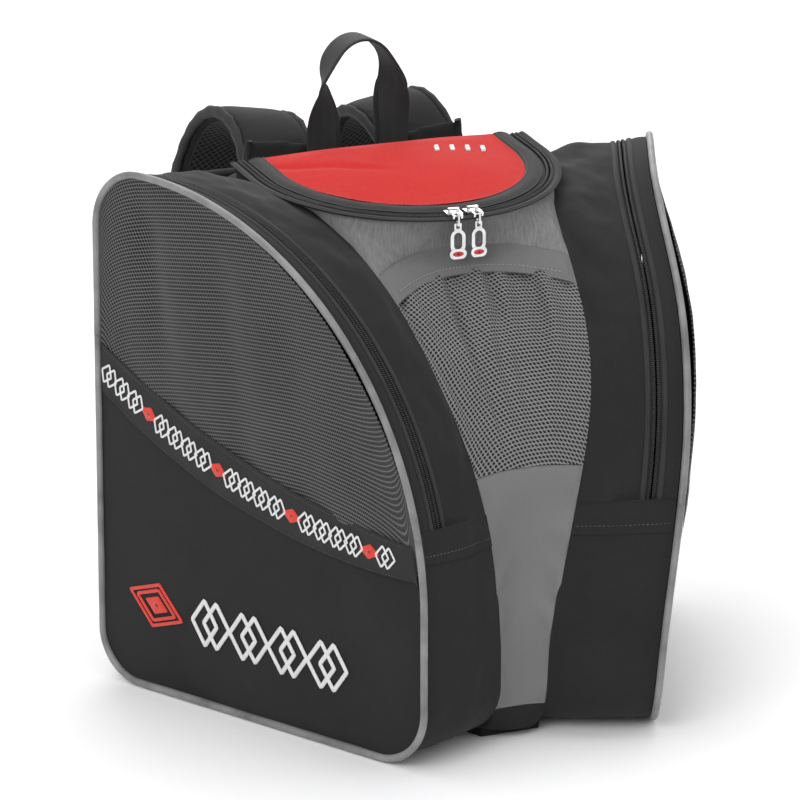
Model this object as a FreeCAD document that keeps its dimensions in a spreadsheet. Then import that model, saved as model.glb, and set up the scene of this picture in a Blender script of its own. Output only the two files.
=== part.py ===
"""Ski boot bag: a backpack with two splayed boot pockets and a main compartment between them.

Frame: millimetres, +Z up, +X to the wearer's left hand as seen from the front, -Y to the front.
The origin is the middle of the underside of the base.

Each boot pocket is drawn in its own upright plane. There s runs forwards along the side panel
from the rear seam, t runs inwards from the side panel's outer face, and z runs up.
"""
import FreeCAD, Part
import os
import re

import Sketcher
from FreeCAD import Placement, Rotation, Vector

SIDES = ("left", "right")

SIZES = {
    # plan
    "splay": (23.6, "angle of each side panel to the centre plane, degrees"),
    "half_rear": (242, "half the width between the rear seams of the side panels"),
    "rear_line": (140, "y of the rear seams of the side panels"),
    "panel_length": (342, "side panel, rear seam to front seam"),
    "pocket_width": (88, "boot pocket, side panel to inner wall"),
    # outline of a boot pocket
    "seam_height": (3.2, "height of the lowest seam line, which is the piping radius"),
    "spring": (124, "height where the front edge starts to curve back"),
    "corner_outer": (46, "radius of the top rear corner at the side panel"),
    "corner_inner": (60, "radius of the top rear corner at the inner wall"),
    "front_foot": (45, "radius of the bottom front corner"),
    "rear_foot": (40, "radius of the bottom rear corner"),
    "cheek_corner": (20, "radius of the top rear corner of the inner wall"),
    # cloth and piping
    "piping_radius": (3.2, "round piping on the side panel's seam"),
    "piping_inset": (3.4, "distance from the seam line to the cloth beside the piping"),
    "cloth": (3, "thickness of a padded fabric wall"),
    "gap": (0.3, "clearance between neighbouring pieces"),
    "base_thickness": (6, "base board in its fabric sleeve"),
    # side zipper and fold of the pocket door
    "coil_line": (23, "side zipper's middle line, measured inwards from the side panel"),
    "coil_half": (2, "width of one half of a zipper"),
    "coil_gap": (1, "half the gap between a zipper's halves, for the slider's post"),
    "fold_angle": (12.3, "place of the door's front end on the big arc, degrees"),
    "fold_rear": (285, "height of the door's rear end"),
    "fold_gap": (1.0, "half the gap along the fold, millimetres"),
    "fold_gap_angle": (0.3, "half the gap along the fold on the big arc, degrees"),
    # woven band across each side panel
    "band_thickness": (1.5, "woven band on the side panel"),
    "band_rear_top": (278, "band's upper edge at its rear end"),
    "band_rear_bottom": (238, "band's lower edge at its rear end"),
    "band_front_top": (181, "band's upper edge at its front end"),
    "band_front_bottom": (152, "band's lower edge at its front end"),
    "band_top_radius": (1010, "radius of the band's upper edge"),
    "band_bottom_radius": (660, "radius of the band's lower edge"),
    # centre of the front
    "front_y": (-127, "outer face of the lower front panel"),
    "kick_top": (26, "top of the black strip under the lower front panel"),
    "panel_top": (218, "top of the lower front panel and foot of the mesh pocket"),
    "backing_foot_y": (-112, "outer face of the pocket backing at its foot"),
    "backing_top_y": (6, "outer face of the pocket backing at its top"),
    "backing_top": (364, "top of the pocket backing"),
    "mesh_top_y": (-23, "outer face of the mesh pocket under its hem"),
    "mesh_top": (347, "top of the mesh under the hem"),
    "hem_top_y": (-12, "outer face of the hem at its top"),
    "hem_top": (362, "top of the hem"),
    "mesh_thickness": (2.5, "mesh pocket with its folds"),
    # main zipper, in a plane that leans forwards
    "lean": (7, "lean of the main zipper's plane, degrees"),
    "zip_y": (101, "y of the middle of the zipper's arc"),
    "zip_z": (407.4, "height of the middle of the zipper's arc"),
    "zip_radius": (120, "radius of the main zipper"),
    "zip_leg": (38, "straight run of the zipper behind its arc"),
    "red_radius": (99.7, "edge of the lid's top panel"),
    "binding_in": (100, "inner edge of the lid's binding"),
    "binding_out": (114.7, "outer edge of the lid's binding"),
    "tape_out": (126, "outer edge of the body's half of the zipper"),
    "tape_low": (-1.5, "underside of the zipper and lid"),
    "tape_high": (1.0, "top of the zipper"),
    "binding_high": (2.5, "top of the binding"),
    "red_high": (3.5, "top of the lid's panel"),
    "collar_out": (117.5, "outer radius of the collar under the zipper"),
    "collar_top": (-5, "top edge of the collar, under the zipper"),
    "collar_low": (-27, "bottom edge of the collar"),
    "yoke_low_out": (104.5, "outer radius of the yoke at its bottom edge"),
    "yoke_angle": (58, "half the angle that the yoke covers, degrees"),
    "hinge_y": (141, "y of the lid's hinge line"),
    # back
    "back_y": (175.4, "inner face of the back panel"),
    "back_half": (160, "half the width of the back panel"),
    "back_top": (394.5, "top of the back panel"),
    "pad_thickness": (12, "back pad"),
    "pad_inner": (12, "inner edge of a back pad"),
    "pad_outer": (105, "outer edge of a back pad"),
    "pad_low": (40, "bottom of a back pad"),
    "pad_high": (350, "top of a back pad"),
    "pad_corner": (25, "corner radius of a back pad"),
    # carrying handle
    "webbing": (30, "width of the handle's webbing"),
    "handle_inner": (15, "half the gap between the handle's legs"),
    "handle_y": (179, "front face of the handle"),
    "handle_foot": (406.5, "bottom of the handle's free legs"),
    "handle_spring": (452, "height where the handle's arch starts"),
    "handle_thickness": (3, "handle webbing with its lining"),
    "handle_tab_low": (372, "bottom of the handle's sewn ends"),
    "handle_tab_high": (403.5, "top of the handle's sewn ends"),
    # shoulder straps, in a plane that leans outwards
    "strap_y": (186, "y of the line through a strap's two ends"),
    "strap_low_x": (120, "x of a strap's lower end"),
    "strap_high_x": (64, "x of a strap's upper end"),
    "strap_low_z": (45, "height of a strap's lower end"),
    "strap_high_z": (392, "height of a strap's upper end"),
    "strap_width": (66, "padded strap"),
    "strap_thickness": (13, "padded strap"),
    "arch_y": (64.9, "middle of the strap's upper arch, behind its end line"),
    "arch_z": (309.1, "middle of the strap's upper arch, above its lower end"),
    "arch_radius": (72, "middle line of the strap's upper arch"),
    "arch_start": (135, "where the upper arch starts, degrees from +Y"),
    "arch_end": (25, "where the upper arch ends, degrees from +Y"),
    "sweep_radius": (150, "middle line of the strap's long curve"),
    "sweep_end": (-22, "where the long curve ends, degrees from +Y"),
    "strap_tail": (105, "straight end of the padded strap"),
    "strap_webbing": (25, "webbing between strap and lower end"),
    "lock_length": (26, "ladder lock"),
    "strap_end_low": (370, "lower edge of a strap's sewn upper end"),
    "strap_end_height": (28, "sewn upper end"),
    "strap_end_thickness": (2.4, "sewn upper end"),
    "patch_margin": (4, "lower end's patch, past the webbing on each side"),
    "patch_drop": (18, "lower edge of the patch, below the strap's end"),
    "patch_height": (26, "patch under the lower end"),
    "patch_thickness": (4, "patch under the lower end"),
    # sliders and pulls
    "slider_length": (13, "zipper slider"),
    "slider_width": (9, "zipper slider"),
    "slider_at": (3.9, "rest place of a main slider on the arc, degrees from the front"),
    "bail_reach": (9.5, "hanging bar of a slider, from the zipper's middle line"),
    "bail_height": (3.2, "hanging bar of a slider, above the zipper"),
    "bar_radius": (0.9, "hanging bar"),
    "bar_half": (3, "half length of the hanging bar"),
    "link_drop": (6.5, "between the two bends of a link"),
    "link_bore": (1.3, "inner radius of a link's bend"),
    "link_rim": (2.9, "outer radius of a link's bend"),
    "link_thickness": (1.6, "link"),
    "pull_thickness": (1.8, "pull"),
    "pull_radius": (6.2, "outer radius of the pull's oval"),
    "side_slider_z": (300, "rest height of a side slider"),
    "plate_thickness": (2, "upper plate of a slider"),
    "post_length": (3, "post between a slider's plates"),
    "under_low": (4.4, "underside of a slider's lower plate, below the zipper"),
    "under_thickness": (1.2, "lower plate of a slider"),
    "bridge_length": (9, "bridge on a slider's plate"),
    "bridge_width": (2.4, "bridge on a slider's plate"),
    "bridge_height": (3.4, "bridge on a slider's plate"),
    "bridge_wall": (1.7, "end wall of the bridge"),
    "arm_thickness": (1.6, "arm that carries a hanging bar"),
    "arm_at": (2.6, "inner face of such an arm, from the slider's middle"),
    "eye_half": (3, "half width of a pull's eye"),
    "eye_rim": (1.5, "side of the eye"),
    "eye_top": (0.8, "half height of the eye's top edge"),
    "eye_drop": (4.6, "lower end of the eye, below its top edge"),
    "eye_floor": (1.2, "lower edge of the eye"),
    "knuckle_bore": (1.15, "bore of a side pull's rolled end"),
    "knuckle_rim": (2.1, "outer radius of the rolled end"),
    "knuckle_width": (4.4, "width of the rolled end"),
    "oval_high": (10.2, "upper centre of a pull's oval, below the bar"),
    "oval_low": (17, "lower centre of the oval"),
    "oval_rim": (2.8, "rim of the oval"),
    "cap_centre": (23.5, "middle of a pull's end cap, below the bar"),
    "cap_half": (3, "half of the cap's straight edge"),
    "cap_radius": (4, "cap's round ends"),
}

document = FreeCAD.newDocument("SkiBootBag")
sheet = document.addObject("Spreadsheet::Sheet", "Sizes")
for row, (alias, (value, meaning)) in enumerate(SIZES.items(), start=1):
    sheet.set(f"A{row}", str(value))
    sheet.setAlias(f"A{row}", alias)
    sheet.set(f"B{row}", meaning)
document.recompute()

nodes = []


def full(expression):
    """The expression with every size named as a cell of the sheet."""
    return re.sub(r"[A-Za-z_]\w*", lambda m: f"Sizes.{m[0]}" if m[0] in SIZES else m[0], str(expression))


def number(expression):
    return float(sheet.evalExpression(full(expression)))


def bind(item, prop, expression):
    item.setExpression(prop, full(expression))


# ---------------------------------------------------------------- sketches

def new_body(name):
    body = document.addObject("PartDesign::Body", name)
    body.Label = name
    nodes.append(body)
    return body


def new_sketch(body, plane, offset="0"):
    sketch = body.newObject("Sketcher::SketchObject", f"{body.Name}_sketch")
    support = next(item for item in body.Origin.OriginFeatures if item.Role == plane)
    sketch.AttachmentSupport = [(support, "")]
    sketch.MapMode = "FlatFace"
    bind(sketch, "AttachmentOffset.Base.z", offset)
    return sketch


def fix(sketch, kind, geometry, vertex, expression):
    """Add one size to the sketch and bind it to the sheet."""
    if vertex is None:
        index = sketch.addConstraint(Sketcher.Constraint(kind, geometry, number(expression)))
    else:
        index = sketch.addConstraint(Sketcher.Constraint(kind, geometry, vertex, number(expression)))
    bind(sketch, f"Constraints[{index}]", expression)


def draw(sketch, loop, closed=True):
    """Draw a chain of edges. A point (x, y) starts a straight edge to the next point.

    A point (x, y, centre x, centre y, turn) starts an arc, and turn is 1 when it runs
    anticlockwise and -1 when it runs clockwise.
    """
    points = [Vector(number(point[0]), number(point[1]), 0) for point in loop]
    edges = []
    last = len(loop) if closed else len(loop) - 1
    for index in range(last):
        start, end = points[index], points[(index + 1) % len(loop)]
        point = loop[index]
        if len(point) == 2:
            geometry = sketch.addGeometry(Part.LineSegment(start, end))
            edges.append((geometry, 1, 2))
            continue
        centre = Vector(number(point[2]), number(point[3]), 0)
        radius = (start - centre).Length
        first, second = (start, end) if point[4] > 0 else (end, start)
        angles = [(tip - centre).getAngle(Vector(1, 0, 0)) * (1 if tip.y >= centre.y else -1)
                  for tip in (first, second)]
        if angles[1] < angles[0]:
            angles[1] += 2 * 3.141592653589793
        circle = Part.Circle(centre, Vector(0, 0, 1), radius)
        geometry = sketch.addGeometry(Part.ArcOfCircle(circle, angles[0], angles[1]))
        edges.append((geometry, 1, 2) if point[4] > 0 else (geometry, 2, 1))
    for index, (geometry, start, end) in enumerate(edges):
        following = edges[(index + 1) % len(edges)]
        if closed or index + 1 < len(edges):
            sketch.addConstraint(Sketcher.Constraint("Coincident", geometry, end, following[0], following[1]))
        fix(sketch, "DistanceX", geometry, start, loop[index][0])
        fix(sketch, "DistanceY", geometry, start, loop[index][1])
        if len(loop[index]) == 5:
            chord = points[(index + 1) % len(points)] - points[index]
            if abs(chord.x) >= abs(chord.y):
                fix(sketch, "DistanceY", geometry, 3, loop[index][3])
            else:
                fix(sketch, "DistanceX", geometry, 3, loop[index][2])
    if not closed:
        geometry, _, end = edges[-1]
        fix(sketch, "DistanceX", geometry, end, loop[-1][0])
        fix(sketch, "DistanceY", geometry, end, loop[-1][1])


def draw_circle(sketch, x, y, radius):
    circle = Part.Circle(Vector(number(x), number(y), 0), Vector(0, 0, 1), number(radius))
    geometry = sketch.addGeometry(circle)
    fix(sketch, "DistanceX", geometry, 3, x)
    fix(sketch, "DistanceY", geometry, 3, y)
    fix(sketch, "Radius", geometry, None, radius)


def rectangle(left, right, low, high):
    return [(left, low), (right, low), (right, high), (left, high)]


def pad(body, sketch, length, reversed_=False, middle=False):
    feature = body.newObject("PartDesign::Pad", f"{body.Name}_pad")
    feature.Profile = sketch
    bind(feature, "Length", length)
    feature.Reversed = reversed_
    feature.Midplane = middle
    sketch.Visibility = False
    body.Tip = feature
    return feature


def cut_through(body, sketch):
    """Cut the sketch out of the body, all the way both ways."""
    document.recompute()
    before = body.Shape.Volume
    feature = body.newObject("PartDesign::Pocket", f"{body.Name}_cut")
    feature.Profile = sketch
    feature.Type = "ThroughAll"
    feature.Midplane = True
    body.Tip = feature
    document.recompute()
    if body.Shape.Volume >= before:
        raise RuntimeError(f"{body.Name}: a cut removed nothing")
    return feature


def loft(body, first, second):
    feature = body.newObject("PartDesign::AdditiveLoft", f"{body.Name}_loft")
    feature.Profile = first
    feature.Sections = [second]
    feature.Ruled = True
    body.Tip = feature
    return feature


def place(item, x="0", y="0", z="0", axis=Vector(0, 0, 1), angle="0"):
    item.Placement = Placement(Vector(0, 0, 0), Rotation(axis, 0.001))
    for name, expression in (("x", x), ("y", y), ("z", z)):
        bind(item, f"Placement.Base.{name}", expression)
    item.Placement.Rotation.Axis = axis
    bind(item, "Placement.Rotation.Angle", angle)


# ---------------------------------------------------------------- the plan of a boot pocket

def mirror_sign(side):
    return "-1" if side == "left" else "1"


def plan_x(side, along, inwards):
    return f"{mirror_sign(side)} * (half_rear - ({along}) * sin(splay) - ({inwards}) * cos(splay))"


def plan_y(along, inwards):
    return f"rear_line - ({along}) * cos(splay) + ({inwards}) * sin(splay)"


def pocket_body(name, side):
    """A body whose x runs along the side panel and whose XZ plane is the panel's outer face."""
    body = new_body(f"{name}_{side}")
    angle = "splay - 90" if side == "left" else "-90 - splay"
    place(body, plan_x(side, "0", "0"), plan_y("0", "0"), "0", angle=angle)
    return body


def pocket_sketch(body, side, inwards):
    sign = "-1" if side == "left" else "1"
    return new_sketch(body, "XZ_Plane", f"{sign} * ({inwards})")


def pad_inwards(body, side, sketch, thickness):
    return pad(body, sketch, thickness, reversed_=side == "left")


def corner_at(inwards):
    """The top rear corner grows from the side panel to the inner wall, so the top slopes inwards."""
    return f"(corner_outer + (corner_inner - corner_outer) * ({inwards}) / pocket_width)"


def arch(corner, inset, angle, rear_height):
    """The upper outline of a pocket, from its front end over the top and down the rear."""
    radius = f"(panel_length - {corner} - ({inset}))"
    crown = f"(spring + panel_length - 2 * {corner})"
    return [
        (f"{corner} + {radius} * cos({angle})", f"spring + {radius} * sin({angle})", corner, "spring", 1),
        (corner, f"spring + {radius}", corner, crown, 1),
        (inset, crown),
        (inset, rear_height),
    ]


def arch_back(corner, inset, angle, rear_height):
    """The same outline, followed from the rear to the front."""
    radius = f"(panel_length - {corner} - ({inset}))"
    crown = f"(spring + panel_length - 2 * {corner})"
    return [
        (inset, rear_height),
        (inset, crown, corner, crown, -1),
        (corner, f"spring + {radius}", corner, "spring", -1),
        (f"{corner} + {radius} * cos({angle})", f"spring + {radius} * sin({angle})"),
    ]


def rear_run(inset, rear_height):
    """The lower outline from its rear end to the base."""
    return [
        (inset, rear_height),
        (inset, "seam_height + rear_foot", "rear_foot", "seam_height + rear_foot", 1),
        ("rear_foot", f"seam_height + ({inset})"),
    ]


def front_run(corner, inset, angle):
    """The lower outline from the base to its front end."""
    radius = f"(panel_length - {corner} - ({inset}))"
    return [
        ("panel_length - front_foot", f"seam_height + ({inset})",
         "panel_length - front_foot", "seam_height + front_foot", 1),
        (f"panel_length - ({inset})", "seam_height + front_foot"),
        (f"panel_length - ({inset})", "spring", corner, "spring", 1),
        (f"{corner} + {radius} * cos({angle})", f"spring + {radius} * sin({angle})"),
    ]


def front_run_back(corner, inset, angle):
    radius = f"(panel_length - {corner} - ({inset}))"
    return [
        (f"{corner} + {radius} * cos({angle})", f"spring + {radius} * sin({angle})", corner, "spring", -1),
        (f"panel_length - ({inset})", "spring"),
        (f"panel_length - ({inset})", "seam_height + front_foot",
         "panel_length - front_foot", "seam_height + front_foot", -1),
        ("panel_length - front_foot", f"seam_height + ({inset})"),
    ]


DOOR_ANGLE = "fold_angle + fold_gap_angle"
DOOR_REAR = "fold_rear + fold_gap"
LOWER_ANGLE = "fold_angle - fold_gap_angle"
LOWER_REAR = "fold_rear - fold_gap"
INNER_EDGE = "pocket_width - cloth - gap"


# ---------------------------------------------------------------- boot pockets

def side_panel(side):
    """The fabric side below the fold."""
    body = pocket_body("side_panel", side)
    sketch = pocket_sketch(body, side, "gap")
    loop = rear_run("piping_inset", LOWER_REAR) + front_run("corner_outer", "piping_inset", LOWER_ANGLE)
    draw(sketch, loop)
    pad_inwards(body, side, sketch, "cloth")


def side_mesh(side):
    """The mesh side above the fold, which is the face of the door."""
    body = pocket_body("side_mesh", side)
    sketch = pocket_sketch(body, side, "gap")
    draw(sketch, arch("corner_outer", "piping_inset", DOOR_ANGLE, DOOR_REAR))
    pad_inwards(body, side, sketch, "cloth")


def woven_band(side):
    """A woven band sewn on the outside of the side panel, sagging between its ends."""
    body = pocket_body("woven_band", side)
    sketch = pocket_sketch(body, side, "-band_thickness")
    rear, front = "6", "322"
    slope_top = "(band_front_top - band_rear_top)"
    slope_bottom = "(band_front_bottom - band_rear_bottom)"
    loop = []
    for start, end, radius, turn in (
            ((rear, "band_rear_bottom"), (front, "band_front_bottom"), "band_bottom_radius", 1),
            ((front, "band_front_top"), (rear, "band_rear_top"), "band_top_radius", -1)):
        slope = slope_bottom if turn > 0 else slope_top
        chord = f"sqrt(({front} - {rear})^2 + {slope}^2)"
        lift = f"sqrt({radius}^2 - ({chord} / 2)^2)"
        centre_x = f"(({front} + {rear}) / 2 - {slope} / {chord} * {lift})"
        centre_y = f"(({start[1]} + {end[1]}) / 2 + ({front} - {rear}) / {chord} * {lift})"
        loop.append((start[0], start[1], centre_x, centre_y, turn))
        loop.append(end)
    draw(sketch, loop)
    pad_inwards(body, side, sketch, "band_thickness")


def piping(name, side, path, profile_height):
    """Round piping along a path in the side panel's outer face."""
    body = pocket_body(name, side)
    spine = new_sketch(body, "XZ_Plane")
    draw(spine, path, closed=False)
    profile = new_sketch(body, "XY_Plane", profile_height)
    draw_circle(profile, "0", "0", "piping_radius")
    document.recompute()
    pipe = body.newObject("PartDesign::AdditivePipe", f"{body.Name}_pipe")
    pipe.Profile = profile
    pipe.Spine = (spine, [f"Edge{index + 1}" for index in range(spine.GeometryCount)])
    body.Tip = pipe


def gusset_strip(name, side, inwards, width, inset, depth, first, last):
    """A strip of the pocket's edge between two distances from the side panel."""
    body = pocket_body(name, side)
    sketches = []
    for distance in (inwards, f"{inwards} + {width}"):
        corner = corner_at(distance)
        sketch = pocket_sketch(body, side, distance)
        draw(sketch, first(corner, inset) + last(corner, f"{inset} + {depth}"))
        sketches.append(sketch)
    loft(body, *sketches)


def door_arch(corner, inset):
    return arch(corner, inset, DOOR_ANGLE, DOOR_REAR)


def door_arch_back(corner, inset):
    return arch_back(corner, inset, DOOR_ANGLE, DOOR_REAR)


def lower_front(corner, inset):
    return front_run(corner, inset, LOWER_ANGLE)


def lower_front_back(corner, inset):
    return front_run_back(corner, inset, LOWER_ANGLE)


def rear_gusset(side):
    body = pocket_body("rear_gusset", side)
    sketch = pocket_sketch(body, side, "piping_inset")
    loop = rear_run("0", LOWER_REAR) + [
        ("rear_foot", "seam_height + cloth", "rear_foot", "seam_height + rear_foot", -1),
        ("cloth", "seam_height + rear_foot"),
        ("cloth", LOWER_REAR),
    ]
    draw(sketch, loop)
    pad_inwards(body, side, sketch, f"{INNER_EDGE} - piping_inset")


def divider(side):
    """The wall between a boot pocket and the main compartment."""
    body = pocket_body("divider", side)
    sketch = pocket_sketch(body, side, "pocket_width - cloth")
    floor = "base_thickness + gap"
    apex = "spring + panel_length - corner_inner"
    foot_reach = f"sqrt(front_foot^2 - (front_foot + seam_height - ({floor}))^2)"
    loop = [
        ("gap", floor),
        (f"panel_length - front_foot + {foot_reach}", floor,
         "panel_length - front_foot", "seam_height + front_foot", 1),
        ("panel_length", "seam_height + front_foot"),
        ("panel_length", "spring", "corner_inner", "spring", 1),
        ("corner_inner", apex),
        ("cheek_corner + gap", apex, "cheek_corner + gap", f"{apex} - cheek_corner", 1),
        ("gap", f"{apex} - cheek_corner"),
    ]
    draw(sketch, loop)
    pad_inwards(body, side, sketch, "cloth")


def boot_pocket(side):
    side_panel(side)
    side_mesh(side)
    woven_band(side)
    lower_path = rear_run("0", LOWER_REAR) + front_run("corner_outer", "0", LOWER_ANGLE)
    piping("lower_piping", side, lower_path, LOWER_REAR)
    piping("upper_piping", side, door_arch_back("corner_outer", "0"), DOOR_REAR)
    gusset_strip("front_gusset", side, "piping_inset", f"({INNER_EDGE} - piping_inset)", "0", "cloth",
                 lower_front, lower_front_back)
    rear_gusset(side)
    coil_start = "(coil_line - coil_gap - coil_half)"
    coil_end = "(coil_line + coil_gap + coil_half)"
    gusset_strip("door_gusset", side, "piping_inset", f"({coil_start} - gap - piping_inset)", "0", "cloth",
                 door_arch, door_arch_back)
    gusset_strip("door_zipper", side, coil_start, "coil_half", "-0.5", "cloth", door_arch, door_arch_back)
    gusset_strip("side_zipper", side, "(coil_line + coil_gap)", "coil_half", "-0.5", "cloth",
                 door_arch, door_arch_back)
    gusset_strip("top_gusset", side, f"({coil_end} + gap)", f"({INNER_EDGE} - {coil_end} - gap)", "0", "cloth",
                 door_arch, door_arch_back)
    divider(side)


# ---------------------------------------------------------------- base, front and back

def trim_to_dividers(body):
    """Cut a piece that runs across the bag back to the inner walls of the boot pockets."""
    sketch = new_sketch(body, "XY_Plane")
    for side in SIDES:
        far = f"{mirror_sign(side)} * 2 * half_rear"
        near, ahead, face = "-60", "panel_length + 38", "pocket_width + gap"
        draw(sketch, [
            (plan_x(side, near, face), plan_y(near, face)),
            (plan_x(side, ahead, face), plan_y(ahead, face)),
            (far, plan_y(ahead, face)),
            (far, plan_y(near, face)),
        ])
    cut_through(body, sketch)


def across(name, profile):
    """A wall with one profile, running across the bag between the inner walls."""
    body = new_body(name)
    sketch = new_sketch(body, "YZ_Plane")
    draw(sketch, profile)
    pad(body, sketch, "2 * back_half + 20", middle=True)
    trim_to_dividers(body)
    return body


def base_panel():
    """The stiffened base: a rectangle under each boot pocket and a wedge under the middle."""
    body = new_body("base_panel")
    sketch = new_sketch(body, "XY_Plane")
    ahead, behind = "panel_length - front_foot - gap", "rear_foot + gap"
    face = "pocket_width"
    wedge = f"(rear_line + {face} * sin(splay) - front_y - cloth) / cos(splay)"
    outline = []
    for side in SIDES:
        corners = [
            (plan_x(side, behind, face), plan_y(behind, face)),
            (plan_x(side, behind, "piping_inset"), plan_y(behind, "piping_inset")),
            (plan_x(side, ahead, "piping_inset"), plan_y(ahead, "piping_inset")),
            (plan_x(side, ahead, face), plan_y(ahead, face)),
            (plan_x(side, wedge, face), plan_y(wedge, face)),
        ]
        outline += corners if side == "left" else corners[::-1]
    outline += [
        (plan_x("right", "0", face), plan_y("0", face)),
        (plan_x("left", "0", face), plan_y("0", face)),
    ]
    draw(sketch, outline)
    pad(body, sketch, "base_thickness")


def front_walls():
    floor = "base_thickness + gap"
    inner = "front_y + cloth"
    across("front_kick_strip", rectangle("front_y", inner, floor, "kick_top - gap"))
    across("lower_front_panel", rectangle("front_y", inner, "kick_top", "panel_top - gap"))
    across("pocket_backing", [
        ("backing_foot_y", "panel_top"), ("backing_foot_y + cloth", "panel_top"),
        ("backing_top_y + cloth", "backing_top"), ("backing_top_y", "backing_top"),
    ])
    across("mesh_pocket", [
        ("front_y", "panel_top"), ("front_y + mesh_thickness", "panel_top"),
        ("mesh_top_y + mesh_thickness", "mesh_top"), ("mesh_top_y", "mesh_top"),
    ])
    across("pocket_hem", [
        ("mesh_top_y - 0.5", "mesh_top + gap"), ("mesh_top_y + mesh_thickness + 0.5", "mesh_top + gap"),
        ("hem_top_y + mesh_thickness + 0.5", "hem_top"), ("hem_top_y - 0.5", "hem_top"),
    ])


def rear_yoke():
    """The fabric round the back of the lid: a gore beside each zipper leg and the strip behind."""
    front = "zip_y - 26"
    slope = "tan(lean)"
    top = "(zip_z + (hinge_y - zip_y) * tan(lean) + tape_high)"
    edge = "(back_y - 0.8)"
    body = across("rear_yoke", [
        (front, f"{top} - (hinge_y - ({front})) * {slope} - mesh_thickness"),
        ("hinge_y - 0.6", f"{top} - mesh_thickness - 0.5"),
        (edge, "back_top + 0.8"),
        (edge, "back_top + 0.8 + mesh_thickness"),
        ("hinge_y + 0.3", top),
        (front, f"{top} - (hinge_y - ({front})) * {slope}"),
    ])
    sketch = new_sketch(body, "XY_Plane")
    draw(sketch, rectangle("-tape_out - 2 * gap", "tape_out + 2 * gap", f"{front} - 5", "hinge_y - gap"))
    cut_through(body, sketch)


def back():
    body = new_body("back_panel")
    sketch = new_sketch(body, "XZ_Plane", "-back_y")
    draw(sketch, rectangle("-back_half", "back_half", "base_thickness + gap", "back_top"))
    pad(body, sketch, "cloth", reversed_=True)
    for side in SIDES:
        sign = mirror_sign(side)
        pad_body = new_body(f"back_pad_{side}")
        sketch = new_sketch(pad_body, "XZ_Plane", "-back_y - cloth - gap")
        inner, outer = "pad_inner", "pad_outer"
        left, right = (f"-{outer}", f"-{inner}") if side == "left" else (inner, outer)
        radius = "pad_corner"
        draw(sketch, [
            (f"{left} + {radius}", "pad_low"),
            (f"{right} - {radius}", "pad_low", f"{right} - {radius}", f"pad_low + {radius}", 1),
            (right, f"pad_low + {radius}"),
            (right, f"pad_high - {radius}", f"{right} - {radius}", f"pad_high - {radius}", 1),
            (f"{right} - {radius}", "pad_high"),
            (f"{left} + {radius}", "pad_high", f"{left} + {radius}", f"pad_high - {radius}", 1),
            (left, f"pad_high - {radius}"),
            (left, f"pad_low + {radius}", f"{left} + {radius}", f"pad_low + {radius}", 1),
        ])
        pad(pad_body, sketch, "pad_thickness", reversed_=True)


# ---------------------------------------------------------------- lid and main zipper

def lid_body(name):
    """A body in the main zipper's own plane, centred on the zipper's arc."""
    body = new_body(name)
    place(body, "0", "zip_y", "zip_z", axis=Vector(1, 0, 0), angle="lean")
    return body


def u_shape(radius, leg):
    """A half circle to the front with two straight legs to the rear, run anticlockwise."""
    return [
        (f"-({radius})", leg),
        (f"-({radius})", "0", "0", "0", 1),
        (radius, "0"),
        (radius, leg),
    ]


def u_shape_back(radius, leg):
    return [
        (radius, leg),
        (radius, "0", "0", "0", -1),
        (f"-({radius})", "0"),
        (f"-({radius})", leg),
    ]


def u_ring(name, inner, outer, low, high):
    body = lid_body(name)
    sketch = new_sketch(body, "XY_Plane", low)
    draw(sketch, u_shape(outer, "zip_leg") + u_shape_back(inner, "zip_leg"))
    pad(body, sketch, f"({high}) - ({low})")


def lid():
    body = lid_body("lid_panel")
    sketch = new_sketch(body, "XY_Plane", "tape_low")
    draw(sketch, u_shape("red_radius", "zip_leg - gap"))
    pad(body, sketch, "red_high - tape_low")
    u_ring("lid_binding", "binding_in", "binding_out", "tape_low", "binding_high")
    u_ring("lid_zipper", "binding_out + gap", "zip_radius - coil_gap", "tape_low", "tape_high")
    u_ring("body_zipper", "zip_radius + coil_gap", "tape_out", "tape_low", "tape_high")


def sector(outer, inner, angle):
    """A ring sector about the front of the arc."""
    return [
        (f"-({outer}) * sin({angle})", f"-({outer}) * cos({angle})", "0", "0", 1),
        (f"({outer}) * sin({angle})", f"-({outer}) * cos({angle})"),
        (f"({inner}) * sin({angle})", f"-({inner}) * cos({angle})", "0", "0", -1),
        (f"-({inner}) * sin({angle})", f"-({inner}) * cos({angle})"),
    ]


def collar():
    """The walls under the zipper: the yoke in front and a side wall on each side."""
    body = lid_body("yoke")
    top = new_sketch(body, "XY_Plane", "collar_top")
    draw(top, sector("collar_out", "collar_out - cloth", "yoke_angle"))
    bottom = new_sketch(body, "XY_Plane", "collar_low")
    draw(bottom, sector("yoke_low_out", "yoke_low_out - cloth", "yoke_angle"))
    loft(body, top, bottom)
    start = "(yoke_angle + 0.5)"
    outer, inner = "collar_out", "(collar_out - cloth)"
    for side in SIDES:
        sign = mirror_sign(side)
        turn = -1 if side == "left" else 1
        wall = lid_body(f"collar_{side}")
        sketch = new_sketch(wall, "XY_Plane", "collar_low")
        draw(sketch, [
            (f"{sign} * {outer} * sin({start})", f"-{outer} * cos({start})", "0", "0", turn),
            (f"{sign} * {outer}", "0"),
            (f"{sign} * {outer}", "zip_leg - 1"),
            (f"{sign} * {inner}", "zip_leg - 1"),
            (f"{sign} * {inner}", "0", "0", "0", -turn),
            (f"{sign} * {inner} * sin({start})", f"-{inner} * cos({start})"),
        ])
        pad(wall, sketch, "collar_top - collar_low")


# ---------------------------------------------------------------- handle and straps

def box(name, x, y, z, length, width, height):
    item = document.addObject("Part::Box", name)
    for prop, expression in (("Length", length), ("Width", width), ("Height", height)):
        bind(item, prop, expression)
    place(item, x, y, z)
    return item


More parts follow.
